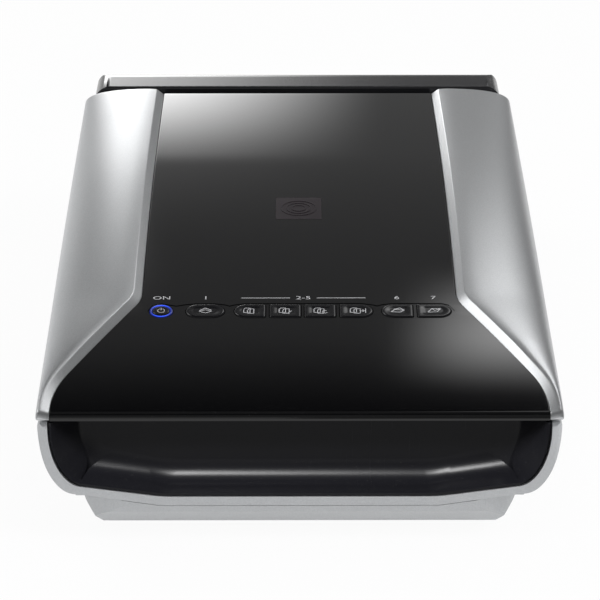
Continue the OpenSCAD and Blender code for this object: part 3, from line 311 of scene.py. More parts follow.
SILVER_LID = flaked("silver_lid_paint", (0.48, 0.49, 0.50), (0.60, 0.61, 0.62), 0.36, 0.35,
                    Metallic=0.9)
SILVER_BASE = flaked("silver_base_paint", (0.44, 0.45, 0.46), (0.56, 0.57, 0.58), 0.42, 0.30,
                     Metallic=0.5)
PIANO_BLACK = polished("piano_black", (0.0016, 0.0016, 0.0020), (0.02, 0.02, 0.02), 0.06, 0.05)
GRIP_BLACK = polished("grip_black", (0.004, 0.004, 0.005), (0.02, 0.02, 0.02), 0.25, 0.06,
                      **{"Specular IOR Level": 0.13})
SATIN_BLACK = grained("satin_black", (0.008, 0.008, 0.009), (0.014, 0.014, 0.016), 0.22, depth=0.2)
DARK_GREY = grained("dark_grey_moulding", (0.030, 0.030, 0.033), (0.048, 0.048, 0.052), 0.45,
                    size=0.0006, depth=0.5)
KEY_BLACK = grained("key_black", (0.003, 0.003, 0.004), (0.005, 0.005, 0.006), 0.16, depth=0.05,
                    **{"Specular IOR Level": 0.35})
PRINT_GREY = grained("print_grey", (0.42, 0.42, 0.43), (0.55, 0.55, 0.56), 0.5, depth=0.05)
TILE_PLUM = grained("tile_plum", (0.007, 0.004, 0.006), (0.012, 0.006, 0.010), 0.30, depth=0.04,
                    **{"Specular IOR Level": 0.2})
RUBBER = grained("black_rubber", (0.014, 0.014, 0.014), (0.030, 0.030, 0.030), 0.75, depth=0.6)
WHITE_PLASTIC = grained("white_plastic", (0.66, 0.66, 0.64), (0.76, 0.76, 0.74), 0.45)
WHITE_MAT = grained("white_mat", (0.72, 0.72, 0.70), (0.82, 0.82, 0.80), 0.8, size=0.0012,
                    depth=0.8)
PLATED_STEEL = grained("plated_steel", (0.42, 0.43, 0.44), (0.58, 0.59, 0.60), 0.32, size=0.0010,
                       depth=0.2, spread=0.15, Metallic=1.0)
BRONZE = grained("sintered_bronze", (0.42, 0.27, 0.11), (0.60, 0.42, 0.20), 0.38, depth=0.4,
                 Metallic=1.0)
MIRROR = polished("front_mirror", (0.85, 0.88, 0.90), (0.6, 0.6, 0.6), 0.02, 0.02, Metallic=1.0)
BOARD_GREEN = grained("circuit_green", (0.008, 0.07, 0.035), (0.012, 0.12, 0.06), 0.35,
                      size=0.0012, depth=0.3)
LAMP_WHITE = grained("lamp_white", (0.70, 0.73, 0.68), (0.82, 0.85, 0.80), 0.4)
NEUTRAL_GLASS = polished("platen_glass", (0.82, 0.90, 0.88), (0.9, 0.9, 0.9), 0.02, 0.02,
                         **{"Transmission Weight": 1.0, "IOR": 1.5})
FROSTED = grained("frosted_acrylic", (0.80, 0.82, 0.83), (0.88, 0.90, 0.91), 0.5, depth=0.2,
                  **{"Transmission Weight": 0.45})
# the lit ring's glow, brightened at its front and back by a painted highlight
BLUE_LIGHT = glowing("blue_light", (0.02, 0.09, 1.0), 1.6, 0.25,
                     (POWER_X * MM, (FRONT_Y + BUTTON_ROW_D) * MM), (POWER_R + 0.9) * MM, 0.75 * MM)

# ---- mesh helpers ----


def new_object(name, points, faces):
    mesh = bpy.data.meshes.new(name)
    mesh.from_pydata([Vector(p) * MM for p in points], [], faces)
    mesh.validate()
    return put_in_scene(name, mesh)


def tube_faces(rows, n):
    """Faces through rows of n points each, closed round each row and at both ends."""
    sides = [[k * n + j, k * n + (j + 1) % n, (k + 1) * n + (j + 1) % n, (k + 1) * n + j]
             for k in range(rows - 1) for j in range(n)]
    return sides + [list(range(n))[::-1], [rows * n - n + j for j in range(n)]]


def prism(name, outline, axis, low, high):
    """A closed outline pushed along an axis: X takes (y, z), Y takes (x, z), Z takes (x, y)."""
    def at(point, along):
        a, b = point
        return {"X": (along, a, b), "Y": (a, along, b), "Z": (a, b, along)}[axis]
    points = [at(p, along) for along in (low, high) for p in outline]
    return face_out(new_object(name, points, tube_faces(2, len(outline))))


def face_out(obj):
    mesh = bmesh.new()
    mesh.from_mesh(obj.data)
    bmesh.ops.remove_doubles(mesh, verts=mesh.verts, dist=1e-7)
    bmesh.ops.recalc_face_normals(mesh, faces=mesh.faces)
    mesh.to_mesh(obj.data)
    mesh.free()
    return obj


def evaluated_mesh(obj):
    graph = bpy.context.evaluated_depsgraph_get()
    graph.update()
    return bpy.data.meshes.new_from_object(obj.evaluated_get(graph))


def settle(obj):
    """Turns an object's modifiers into its plain mesh."""
    mesh = evaluated_mesh(obj)
    obj.modifiers.clear()
    old = obj.data
    obj.data = mesh
    bpy.data.meshes.remove(old)


def combine(target, tool, operation):
    change = target.modifiers.new("combine", "BOOLEAN")
    change.operation = operation
    change.solver = "EXACT"
    change.object = tool
    settle(target)
    bpy.data.objects.remove(tool)
    return target


def soften(obj, width=0.5, segments=2, angle=34):
    """Rounds an object's sharp edges by a small width."""
    change = obj.modifiers.new("soften", "BEVEL")
    change.limit_method = "ANGLE"
    change.angle_limit = radians(angle)
    change.width = width * MM
    change.segments = segments
    change.use_clamp_overlap = True
    settle(obj)
    return obj


def dress(mesh, material):
    mesh.materials.clear()
    mesh.materials.append(material)
    for face in mesh.polygons:
        face.material_index = 0


def complete(obj, body, material, stands_for=(), angle=32.0):
    """Gives a piece its finish and shading, hangs it on its body, and hides the pieces that it
    stands for.
    """
    dress(obj.data, material)
    for face in obj.data.polygons:
        face.use_smooth = True
    obj.data.set_sharp_from_angle(angle=radians(angle))
    # large flat faces keep their own normal beside the small faces of a rounded edge
    shading = obj.modifiers.new("even_shading", "WEIGHTED_NORMAL")
    shading.keep_sharp = True
    settle(obj)
    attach(obj, body)
    if stands_for:
        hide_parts(*stands_for)
    return obj


def both_sides(right):
    return right + [(-x, y) for x, y in reversed(right)]


def arc(cx, cy, r, start, end, steps):
    return [(cx + r * cos(radians(start + (end - start) * i / steps)),
             cy + r * sin(radians(start + (end - start) * i / steps)))
            for i in range(steps + 1)]


# ---- form of the lid ----
flare_w = PANEL_FLARE - PANEL_HALF
flare_front_d = FLARE_FRONT_R * sin(FLARE_TURN)
flare_front_x = FLARE_FRONT_R * (1 - cos(FLARE_TURN))
flare_back_d = FLARE_BACK_R * sin(FLARE_TURN)
flare_back_x = FLARE_BACK_R * (1 - cos(FLARE_TURN))
flare_mid_d = (FLARE_LEAD + flare_front_d
               + (flare_w - flare_front_x - flare_back_x) / tan(FLARE_TURN))
flare_end_d = flare_mid_d + flare_back_d


def panel_z(d):
    if d < CROWN_D:
        return CROWN_Z - (CROWN_Z - NOSE_Z) * (1 - d / CROWN_D) ** 2
    return CROWN_Z - BACK_FALL * ((d - CROWN_D) / (LID_L - CROWN_D)) ** 2


def panel_slope(d):
    return atan(2 * (CROWN_Z - NOSE_Z) / CROWN_D * (1 - d / CROWN_D))


def sag(radius, off):
    """How far a circle has come from its tangent, at a distance off the point that they share."""
    return radius - sqrt(max(0.0, radius ** 2 - off ** 2))


def edge_fall(d):
    if d < NOSE_ROUND:
        return sag(NOSE_ROUND, NOSE_ROUND - d)
    if d > LID_L - BACK_ROUND:
        return sag(BACK_ROUND, d - LID_L + BACK_ROUND)
    return 0.0


def panel_x(d):
    if d < FLARE_LEAD:
        return PANEL_FLARE
    if d < FLARE_LEAD + flare_front_d:
        return PANEL_FLARE - sag(FLARE_FRONT_R, d - FLARE_LEAD)
    if d < flare_mid_d:
        return (PANEL_FLARE - flare_front_x - (d - FLARE_LEAD - flare_front_d) * tan(FLARE_TURN))
    if d < flare_end_d:
        return PANEL_HALF + sag(FLARE_BACK_R, flare_end_d - d)
    return PANEL_HALF


def crest_z(d):
    """Height of a side cover's crest: a little over the panel at the nose, then SUNK over it."""
    return panel_z(d) + CREST_LIFT + (SUNK - CREST_LIFT) * min(1, d / CREST_RUN)


def shoulder_z(d):
    return SHOULDER_FRONT + (SHOULDER_BACK - SHOULDER_FRONT) * d / LID_L


def spaced(start, end, count):
    return [start + (end - start) * i / count for i in range(1, count + 1)]


def lid_stations():
    """Distances from the lid's front where its sections are taken, closer at both ends."""
    nose = [NOSE_ROUND * (1 - cos(radians(a))) for a in range(0, 91, 10)]
    back = [LID_L - BACK_ROUND + BACK_ROUND * sin(radians(a)) for a in range(10, 91, 8)]
    every = (nose + [FLARE_LEAD] + spaced(FLARE_LEAD, NOSE_SOLID - SEAT, 4)
             + spaced(NOSE_SOLID - SEAT, flare_end_d, 40)
             + spaced(flare_end_d, LID_L - BACK_ROUND, 60) + back)
    return sorted(set(round(d, 4) for d in every))


def groove_outline():
    """Plan of the shallow wave cut round the whole row, as offsets from the row's middle."""
    far, near = BUTTON_D / 2 + GROOVE_REACH, -BUTTON_D / 2 - GROOVE_REACH
    top = [(-82.0, 0.0), (-79.5, far - 2.0), (-74.6, far), (-69.0, far - 1.6), (-66.5, far - 2.4),
           (-62.0, far - 1.0), (-56.0, far), (-45.5, far), (-40.0, far - 1.2), (-37.7, far - 2.4),
           (-35.0, far - 1.2), (-30.0, far), (34.0, far), (39.5, far - 1.2), (42.2, far - 2.4),
           (44.6, far - 1.2), (50.0, far), (77.0, far), (81.0, far - 1.8), (84.0, 0.0)]
    return top[::-1] + [(x, near / far * y) for x, y in top[1:-1]]


def make_top_panel():
    rows = []
    for d in lid_stations():
        half, top = panel_x(d) - SEAT, panel_z(d) - edge_fall(d)
        low = LID_Z if d <= NOSE_SOLID - SEAT + 1e-3 else panel_z(d) - WALL
        if d > LID_L - WALL:
            low = BACK_SKIRT_Z
        elif d > LID_L - BACK_ROUND:
            inner = BACK_ROUND - WALL
            reach = min(inner, d - LID_L + BACK_ROUND)
            low = panel_z(LID_L - BACK_ROUND) - WALL - sag(inner, reach)
        rows.append((d, half, top, low))
        if abs(d - (NOSE_SOLID - SEAT)) < 1e-3:
            rows.append((d + 0.01, half, top, panel_z(d) - WALL))
    soft, cut = PANEL_SOFT, PANEL_SOFT * 0.3
    points = []
    for d, half, top, low in rows:
        y, low = FRONT_Y + d, min(low, top - soft - 0.05)
        points += [(-half, y, top - soft), (cut - half, y, top - cut), (soft - half, y, top),
                   (half - soft, y, top), (half - cut, y, top - cut), (half, y, top - soft),
                   (half, y, low), (-half, y, low)]
    return face_out(new_object("panel_skin", points, tube_faces(len(rows), 8)))


# ---- things set into the panel, in the panel's own plane ----
def plane_at(d):
    return (Matrix.Translation(Vector((0, FRONT_Y + d, panel_z(d))) * MM)
            @ Matrix.Rotation(panel_slope(d), 4, "X"))


PANEL_PLANE = plane_at(BUTTON_ROW_D)


def key_ring(key, grow, corner=1.2, steps=10):
    """Outline of a key, grown or shrunk, with as many points whatever its ends are."""
    left, right, round_left, round_right = key
    r = BUTTON_D / 2
    rings = []
    for side, end, is_round in ((1, right, round_right), (-1, left, round_left)):
        radius = r + grow if is_round else max(corner + grow, 0.05)
        cx = end - side * (r if is_round else corner)
        cy = 0.0 if is_round else r - corner
        if side > 0:
            rings += arc(cx, -cy, radius, -90, 0, steps) + arc(cx, cy, radius, 0, 90, steps)
        else:
            rings += arc(cx, cy, radius, 90, 180, steps) + arc(cx, -cy, radius, 180, 270, steps)
    return rings


def stack(name, rings):
    """A closed form through rings of points with as many points each, bottom to top."""
    points = [(x, y, z) for ring, z in rings for x, y in ring]
    return new_object(name, points, tube_faces(len(rings), len(rings[0][0])))


def into_plane(obj, plane):
    obj.data.transform(plane)
    return face_out(obj)


def carve(panel, outline, low, high, plane=PANEL_PLANE):
    tool = into_plane(stack("well", [(outline, low), (outline, high)]), plane)
    combine(panel, tool, "DIFFERENCE")


def power_circle(radius):
    return arc(POWER_X, 0, radius, 0, 354, 59)


def carve_wells(panel):
    carve(panel, groove_outline(), -GROOVE_DEEP, THROUGH)
    for key in KEYS.values():
        carve(panel, key_ring(key, KEY_GAP), -THROUGH, THROUGH)
    carve(panel, power_circle(RING_OUT + SEAT + 0.1), -THROUGH, THROUGH)
    w, length = TILE_W / 2, TILE_L / 2
    pocket = [(-w, -length), (w, -length), (w, length), (-w, length)]
    carve(panel, pocket, -TILE_DEEP, THROUGH, plane_at(TILE_D))


panel = make_top_panel()
carve_wells(panel)
complete(panel, "lid", PIANO_BLACK, ["top_panel"])


def cover_outline(d, hollow, steps=28):
    """A side cover's section: bevel beside the panel, crest, dome, foot and its under side."""
    fall = edge_fall(d)
    back = fall if d > LID_L - BACK_ROUND else fall * 0.3
    outer, inner = HALF_W - back * 0.6, panel_x(d)
    crest_x = min(inner + BEVEL_W, outer - CREST_ROUND)
    edge = max(LID_Z + 0.2, panel_z(d) - BEVEL_DROP - fall)
    side = max(LID_Z + COVER_SOFT, shoulder_z(d) - back * 0.7)
    crest = max(side + 1, crest_z(d) - fall)

    def dome(xa, xb, za, zb, i):
        a = radians(90 * i / steps)
        return (xa + (xb - xa) * sin(a) ** (2 / DOME_POWER),
                za + (zb - za) * max(0.0, cos(a)) ** (2 / DOME_POWER))

    run = Vector((crest_x - inner, crest - edge))
    turn = min(CREST_SHARE, CREST_ROUND / run.length)
    top = [(inner, edge - BEVEL_SOFT), (inner + 0.5, edge),
           (crest_x - run.x * turn, crest - run.y * turn),
           (crest_x - run.x * turn * 0.35, crest - run.y * turn * 0.45)]
    top += [dome(crest_x, outer, side, crest, i) for i in range(1, steps + 1)]
    top += [(outer, LID_Z + COVER_SOFT), (outer - COVER_SOFT, LID_Z)]
    under_x, under_z, lip_x = outer - WALL, crest_z(d) - WALL, inner + FLANGE_T
    if not hollow:
        under = [(under_x + (lip_x - under_x) * i / (steps + 3), LID_Z) for i in range(steps + 4)]
        return top + under + [(inner, LID_Z)]
    flange = panel_z(d) - WALL - 0.7
    under = [(under_x, LID_Z)] + [dome(min(crest_x, under_x - COVER_SOFT), under_x,
                                       min(side, under_z - 0.5), under_z, i)
                                  for i in range(steps, -1, -1)]
    return top + under + [(lip_x, max(flange + 0.1, panel_z(d) - WALL + 0.8)), (lip_x, flange),
                          (inner, flange)]


def make_side_cover(side):
    stations = []
    for d in lid_stations():
        if d <= LID_L - BACK_ROUND + BACK_ROUND * sin(radians(87)):
            stations.append((d, NOSE_SOLID < d < LID_L - BACK_ROUND + 0.1))
    stations += [(NOSE_SOLID - 0.02, False), (NOSE_SOLID + 0.02, True)]
    stations.sort()
    points = [(side * x, FRONT_Y + d, z) for d, hollow in stations
              for x, z in cover_outline(d, hollow)]
    made = new_object("side_cover_" + ("right" if side > 0 else "left"), points,
                      tube_faces(len(stations), len(points) // len(stations)))
    return face_out(made)


for side, name in ((1, "right_side_cover"), (-1, "left_side_cover")):
    complete(make_side_cover(side), "lid", SILVER_LID, [name], angle=40.0)

# ---- keys, ring and tile ----


def with_word(name, word):
    """A key's name with a word in it: function_1 and button make function_button_1."""
    stem, mark, number = name.partition("_")
    return stem + "_" + word + mark + number


def make_key(name, key):
    """A key: a straight side, a rounded shoulder, and a top that dips a little to its middle."""
    foot, chamfer, top, shoulder, dip = -2.9, 0.2, 0.3, 1.0, 0.02
    rings = [(key_ring(key, -0.3), foot), (key_ring(key, 0.0), foot + chamfer),
             (key_ring(key, 0.0), top - shoulder)]
    for a in range(15, 91, 15):
        rings.append((key_ring(key, -shoulder * (1 - cos(radians(a)))),
                      top - shoulder + shoulder * sin(radians(a))))
    for inset in (1.8, 2.6, 3.6, 4.6):
        rings.append((key_ring(key, -inset, corner=4.7), top - dip * (inset - shoulder) ** 2))
    return into_plane(stack(name, rings), PANEL_PLANE)


for name, key in KEYS.items():
    complete(make_key("key_" + name, key), with_word(name, "key"), KEY_BLACK,
             [with_word(name, "button")])


def make_glow_ring(steps=72):
    """The lit ring, turned round the power key's axis from its section as (radius, height)."""
    outline = [(RING_IN, -3.5), (RING_OUT, -3.5), (RING_OUT, -0.25), (RING_OUT - 0.2, 0.0),
               (RING_OUT - 0.5, 0.1), (RING_IN + 0.5, 0.1), (RING_IN + 0.2, 0.0),
               (RING_IN, -0.25)]
    n = len(outline)
    turns = [2 * pi * k / steps for k in range(steps)]
    points = [(POWER_X + r * cos(a), r * sin(a), z) for a in turns for r, z in outline]
    faces = [[k * n + j, (k + 1) % steps * n + j, (k + 1) % steps * n + (j + 1) % n,
              k * n + (j + 1) % n] for k in range(steps) for j in range(n)]
    return into_plane(new_object("power_glow_ring", points, faces), PANEL_PLANE)


def power_cap():
    """The round power key, from its section as (inset, height)."""
    section = ((0.3, -2.9), (0.0, -2.7), (0.0, -0.4), (0.1, -0.1), (0.35, 0.15), (0.8, 0.28),
               (1.8, 0.22), (3.0, 0.14), (4.2, 0.1))
    return into_plane(stack("power_cap", [(power_circle(POWER_R - inset), z)
                                          for inset, z in section]), PANEL_PLANE)


complete(power_cap(), "power_key", KEY_BLACK, ["power_button"])
complete(make_glow_ring(), "lid", BLUE_LIGHT, ["power_light_ring"])

# ---- base: casing, tray and grip, with as many steps to each quarter round ----
STEPS = 24


def base_section():
    """The tray's chamfered foot, then a quarter of an ellipse out to the casing's round rim."""
    out, up, steps = CASING_HALF - TRAY_HALF, DECK_Z - TRAY_TOP, 29
    right = [(97, 2), (103, 5), (112, 17), (TRAY_HALF, TRAY_TOP)]
    for i in range(1, steps - 2):
        turn = radians(90 * i / steps)
        right.append((TRAY_HALF + out * sin(turn), DECK_Z - up * cos(turn)))
    return both_sides(right + arc(CASING_HALF - RIM_ROUND, DECK_Z - RIM_ROUND, RIM_ROUND, 0, 90,
                                  12))


def base_side_profile():
    return ([(FRONT_Y + 18, 2), (BACK_Y - 8, 2), (BACK_Y, 12), (BACK_Y, DECK_Z)]
            + arc(FRONT_Y + RIM_ROUND, DECK_Z - RIM_ROUND, RIM_ROUND, 90, 180, 12)
            + [(FRONT_Y, LIP_SEAM_Z), (FRONT_Y + 2, 15), (FRONT_Y + 12, 5)])


def rounded_corner(before, corner, after, radius, steps=12):
    """The points of a rounded corner between two straight runs."""
    corner = Vector(corner)
    to_a = (Vector(before) - corner).normalized()
    to_b = (Vector(after) - corner).normalized()
    half = to_a.angle(to_b) / 2
    centre = corner + (to_a + to_b).normalized() * radius / sin(half)
    first = corner + to_a * radius / tan(half) - centre
    last = corner + to_b * radius / tan(half) - centre
    return [tuple(centre + first.slerp(last, i / steps).normalized() * radius)
            for i in range(steps + 1)]


def grip_edge(half, low, corner_w, corner_top):
    """Right half of an edge of the grip: flat lip, gentle rise, then a corner up to the side."""
    side = []
    for i in range(STEPS + 1):
        t = RIM_TURN + (pi / 2 - RIM_TURN) * i / STEPS
        side.append((half - corner_w + corner_w * sin(t),
                     corner_top - (corner_top - low - GRIP_LEDGE_RISE) * cos(t)))
    return rounded_corner((0.0, low), (SEAM_FLAT, low), side[0], LIP_BEND_R) + side


def grip_opening():
    edge = grip_edge(GRIP_HALF, LIP_Z, GRIP_CURVE_W, GRIP_CURVE_Z)
    return both_sides(edge + [(GRIP_HALF, DECK_Z + 5)])


def base_solid(name):
    """The whole base: its section, its side profile and its plan, cut from one another."""
    x, r = CASING_HALF - CASING_ROUND, CASING_ROUND
    plan = both_sides(arc(x, FRONT_Y + r, r, -90, 0, STEPS) + arc(x, BACK_Y - r, r, 0, 90, STEPS))
    made = prism(name, base_section(), "Y", FRONT_Y - 3, BACK_Y + 3)
    combine(made, prism("tool", base_side_profile(), "X", -HALF_W - 3, HALF_W + 3), "INTERSECT")
    return combine(made, prism("tool", plan, "Z", -1, DECK_Z + 3), "INTERSECT")


def above_seam():
    """Front outline of all that lies over the seam between the tray and the casing."""
    return both_sides([(SEAM_FLAT, LIP_SEAM_Z), (SEAM_RISE, SEAM_SIDE_Z),
                       (HALF_W + 5, SEAM_SIDE_Z), (HALF_W + 5, DECK_Z + 5)])


def slab(lo, hi):
    return prism("tool", [(lo[0], lo[1]), (hi[0], lo[1]), (hi[0], hi[1]), (lo[0], hi[1])], "Z",
                 lo[2], hi[2])


def inner_solid():
    section = both_sides([(94.5, 4.5), (100.5, 7.5), (109.5, 17), (114, 26), (117.5, 35),
                          (124, 50), (128.5, 64)])
    return prism("tool", section, "Y", FRONT_Y + WALL, BACK_Y - WALL)


def make_casing():
    """The silver shell: hollow, and open for the frame, the grip and the rear panel."""
    made = base_solid("silver_casing")
    combine(made, prism("tool", above_seam(), "Y", FRONT_Y - 5, BACK_Y + 5), "INTERSECT")
    for tool in (
            inner_solid(),
            slab((-FRAME_HALF - SEAT, FRONT_Y + FRAME_FRONT, DECK_Z - WALL - 1),
                 (FRAME_HALF + SEAT, BLOCK_Y + WALL + SEAT, DECK_Z + 1)),
            prism("tool", grip_opening(), "Y", FRONT_Y - 1, GRIP_BACK_Y + BEZEL_T + 1),
            slab((SOCKETS_X[0], BACK_Y - WALL - 1, SOCKETS_Z[0]),
                 (SOCKETS_X[1], BACK_Y + 1, SOCKETS_Z[1]))):
        combine(made, tool, "DIFFERENCE")
    return soften(made)


def grip_profiles():
    """The grip's ledge and its side in section, each as points (depth, way in) to the back."""
    deep, reach, beyond = GRIP_BACK_Y - FRONT_Y, GRIP_TAPER - BEZEL_T, 20.0
    ledge = [(0.0, 0.0), (deep * 0.2, 0.0)]
    ledge += rounded_corner((0.0, 0.0), (deep, 0.0), (deep, beyond), FILLET_R, 20)
    side = [(0.0, 0.0), (deep * 0.25, reach * 0.25)]
    side += rounded_corner((0.0, 0.0), (deep, reach), (deep, reach + beyond), GRIP_CORNER_R, 20)
    return ledge, side


def whole_edge(right, top):
    """Both halves of an edge, with points along the flat lip and up the straight side."""
    x, z = right[-1]
    right = ([(right[0][0] * i / 8, right[0][1]) for i in range(8)] + right
             + [(x, z + (top - z) * i / 4) for i in range(1, 5)])
    return [(-x, z) for x, z in right[:0:-1]] + right


def make_bezel():
    """The black liner: its edge swept in to a smaller edge of the back wall, rounded all along."""
    ledge, side = grip_profiles()
    ledge_in, reach = ledge[-1][1], side[-1][1]
    top, half, low = DECK_Z - 0.5, GRIP_HALF - BEZEL_T, LIP_Z + BEZEL_T
    front = whole_edge(grip_edge(half, low, GRIP_CURVE_W - BEZEL_T, GRIP_CURVE_Z), top)
    back = whole_edge(grip_edge(half - reach, low + FILLET_R, WALL_CORNER_W, WALL_CORNER_Z), top)
    squeeze = 1 - GRIP_EDGE / (GRIP_BACK_Y - FRONT_Y)
    points, n, m = [], len(front), len(ledge)
    for k, ((x0, z0), (x1, z1)) in enumerate(zip(front, back)):
        along = Vector(front[min(k + 1, n - 1)]) - Vector(front[max(k - 1, 0)])
        share = abs(along.normalized().y)
        for (depth_a, in_a), (depth_b, in_b) in zip(ledge, side):
            depth = (depth_a + (depth_b - depth_a) * share) * squeeze
            way_in = in_a / ledge_in + (in_b / reach - in_a / ledge_in) * share
            points.append((x0 + (x1 - x0) * way_in, FRONT_Y + GRIP_EDGE + depth,
                           z0 + (z1 - z0) * way_in))
    faces = [[k * m + j, k * m + j + 1, (k + 1) * m + j + 1, (k + 1) * m + j]
             for k in range(n - 1) for j in range(m - 1)]
    faces.append([k * m + m - 1 for k in range(n)])
    made = face_out(new_object("grip_liner", points, faces))
    wall = max(made.data.polygons, key=lambda face: face.area)
    if wall.normal.y > 0:
        made.data.flip_normals()
    shell = made.modifiers.new("shell", "SOLIDIFY")
    shell.thickness, shell.offset = (BEZEL_T - 2 * SEAT) * MM, -1.0
    settle(made)
    return made


def make_block():
    """The rear block: a flat top that falls in a wide arc to a small round at the back."""
    fall_y, fall_z = BLOCK_Y + BLOCK_FLAT, BLOCK_TOP - BLOCK_FALL_R
    outline = ([(BLOCK_Y, BLOCK_BASE)]
               + arc(BLOCK_Y + BLOCK_EDGE_R, BLOCK_TOP - BLOCK_EDGE_R, BLOCK_EDGE_R, 180, 90, 8)
               + arc(fall_y, fall_z, BLOCK_FALL_R, 90, 68, 12)
               + arc(BACK_Y - BLOCK_FOOT_R, BLOCK_FOOT_Z, BLOCK_FOOT_R, 35, 0, 8)
               + [(BACK_Y, BLOCK_BASE)])
    inner = ([(BLOCK_Y + WALL, BLOCK_BASE - 3), (BLOCK_Y + WALL, BLOCK_TOP - WALL),
              (fall_y, BLOCK_TOP - WALL)]
             + arc(fall_y, fall_z, BLOCK_FALL_R - WALL, 88, 68, 10)
             + [(BACK_Y - WALL - 1.5, BLOCK_FOOT_Z + 2), (BACK_Y - WALL, BLOCK_BASE - 3)])

    def front(inset, foot):
        corner = arc(BLOCK_HALF - BLOCK_ROUND, BLOCK_TOP - BLOCK_ROUND, BLOCK_ROUND - inset, 0, 90,
                     STEPS)
        return both_sides([(BLOCK_HALF - inset, foot)] + corner)

    made = prism("rear_cover", outline, "X", -BLOCK_HALF - 3, BLOCK_HALF + 3)
    combine(made, prism("tool", front(0, BLOCK_BASE - 1), "Y", BLOCK_Y - 2, BACK_Y + 2),
            "INTERSECT")
    hollow = prism("tool", inner, "X", -BLOCK_HALF + WALL, BLOCK_HALF - WALL)
    combine(hollow, prism("tool", front(WALL, BLOCK_BASE - 4), "Y", BLOCK_Y, BACK_Y), "INTERSECT")
    return soften(combine(made, hollow, "DIFFERENCE"))


complete(make_casing(), "base", SILVER_BASE, ["middle_casing"])
complete(make_bezel(), "base", GRIP_BLACK, ["grip_bezel"])
complete(make_block(), "base", SATIN_BLACK, ["rear_housing"])

# ---- printed marks on the panel and keys ----
LABEL_V, LABEL_SIZE, LABEL_STRETCH, PRINT_T = 13.2, 4.6, 1.35, 0.02
ICON_H, POWER_ICON_H = 0.21, 0.24


def printed(name, text, x):
    """A number or word in the row of marks behind the keys."""
    curve = bpy.data.curves.new(name, "FONT")
    curve.body = text
    curve.size = LABEL_SIZE * MM
    curve.align_x = "CENTER"
    curve.align_y = "CENTER"
    curve.extrude = PRINT_T * MM
    made = put_in_scene(name, curve)
    mesh = evaluated_mesh(made)
    bpy.data.objects.remove(made)
    mesh.transform(PANEL_PLANE @ Matrix.Translation(Vector((x, LABEL_V, PRINT_T)) * MM)
                   @ Matrix.Diagonal((LABEL_STRETCH, 1.0, 1.0, 1.0)))
    return complete(put_in_scene(name, mesh), "lid", PRINT_GREY)


def stroke_faces(lines, width, height):
    points, faces = [], []
    for line in lines:
        for (x0, y0), (x1, y1) in zip(line, line[1:]):
            along = Vector((x1 - x0, y1 - y0)).normalized() * width / 2
            off = Vector((-along.y, along.x))
            a, b = Vector((x0, y0)) - along, Vector((x1, y1)) + along
            start = len(points)
            for z in (height - 2 * PRINT_T, height + PRINT_T):
                points += [(*(a - off), z), (*(b - off), z), (*(b + off), z), (*(a + off), z)]
            faces += [[start + i for i in quad] for quad in (
                (3, 2, 1, 0), (4, 5, 6, 7), (0, 1, 5, 4), (1, 2, 6, 5), (2, 3, 7, 6),
                (3, 0, 4, 7))]
    return points, faces


def strokes(name, lines, width, height, body):
    made = into_plane(new_object(name, *stroke_faces(lines, width, height)), PANEL_PLANE)
    return complete(made, body, PRINT_GREY)


def page(x, y, w=3.4, h=4.6):
    return [(x - w / 2, y - h / 2), (x + w / 2, y - h / 2), (x + w / 2, y + h / 2),
            (x - w / 4, y + h / 2), (x - w / 2, y + h / 5), (x - w / 2, y - h / 2)]


def key_middle(name):
    return (KEYS[name][0] + KEYS[name][1]) / 2


printed("label_on", "ON", POWER_X)
for name, text in (("auto", "1"), ("copy", "6"), ("mail", "7")):
    printed("label_" + name, text, key_middle(name))
first, last = KEYS["function_1"][0], KEYS["function_4"][1]
group_middle = (first + last) / 2
printed("label_group", "2-5", group_middle)
strokes("group_lines", [[(first + 4, LABEL_V), (group_middle - 7.5, LABEL_V)],
                        [(group_middle + 7.5, LABEL_V), (last - 4, LABEL_V)]], 0.5, PRINT_T, "lid")
strokes("icon_power", [arc(POWER_X, 0, 1.9, 120, 420, 16), [(POWER_X, 0.6), (POWER_X, 2.6)]],
        0.45, POWER_ICON_H, "power_key")

# the keys' symbols, each as its line width and its lines about the key's middle
PAGES = [page(-1.6, 0.2), page(0.4, -0.6)]
ICONS = {
    "auto": (0.45, [[(-3.2, -0.8), (0.4, -2.4), (3.4, -0.6), (0, 0.8), (-3.2, -0.8)],
                    [(-3.0, 0.2), (0, 2.6), (3.2, 0.6)]]),
    "function_1": (0.42, PAGES),
    "function_2": (0.42, PAGES + [[(1.4, -2.6), (3.4, -0.4)]]),
    "function_3": (0.42, PAGES + [arc(2.6, -1.4, 1.3, 60, 330, 10)]),
    "function_4": (0.42, PAGES + [[(2.0, -0.4), (4.4, -0.4)], [(5.0, -2.4), (5.0, 1.8)],
                                  [(3.4, 0.6), (4.4, -0.4), (3.4, -1.4)]]),
    "copy": (0.5, [[(-3.4, -1.4), (1.6, -1.8), (3.6, 0.2), (-1.4, 0.8), (-3.4, -1.4)],
                   [(-1.8, 1.2), (1.4, 2.4), (3.0, 0.8)]]),
    "mail": (0.45, [[(-3.4, -1.8), (1.4, -1.8), (3.6, 1.8), (-1.2, 1.8), (-3.4, -1.8)],
                    [(-1.2, 1.8), (0.4, -0.2), (3.6, 1.8)]]),
}
for name, (width, lines) in ICONS.items():
    placed = [[(key_middle(name) + x, y) for x, y in line] for line in lines]
    strokes("icon_" + name, placed, width, ICON_H, with_word(name, "key"))

# ---- marks that repeat: a row of small blocks, made once and placed by its named inputs ----


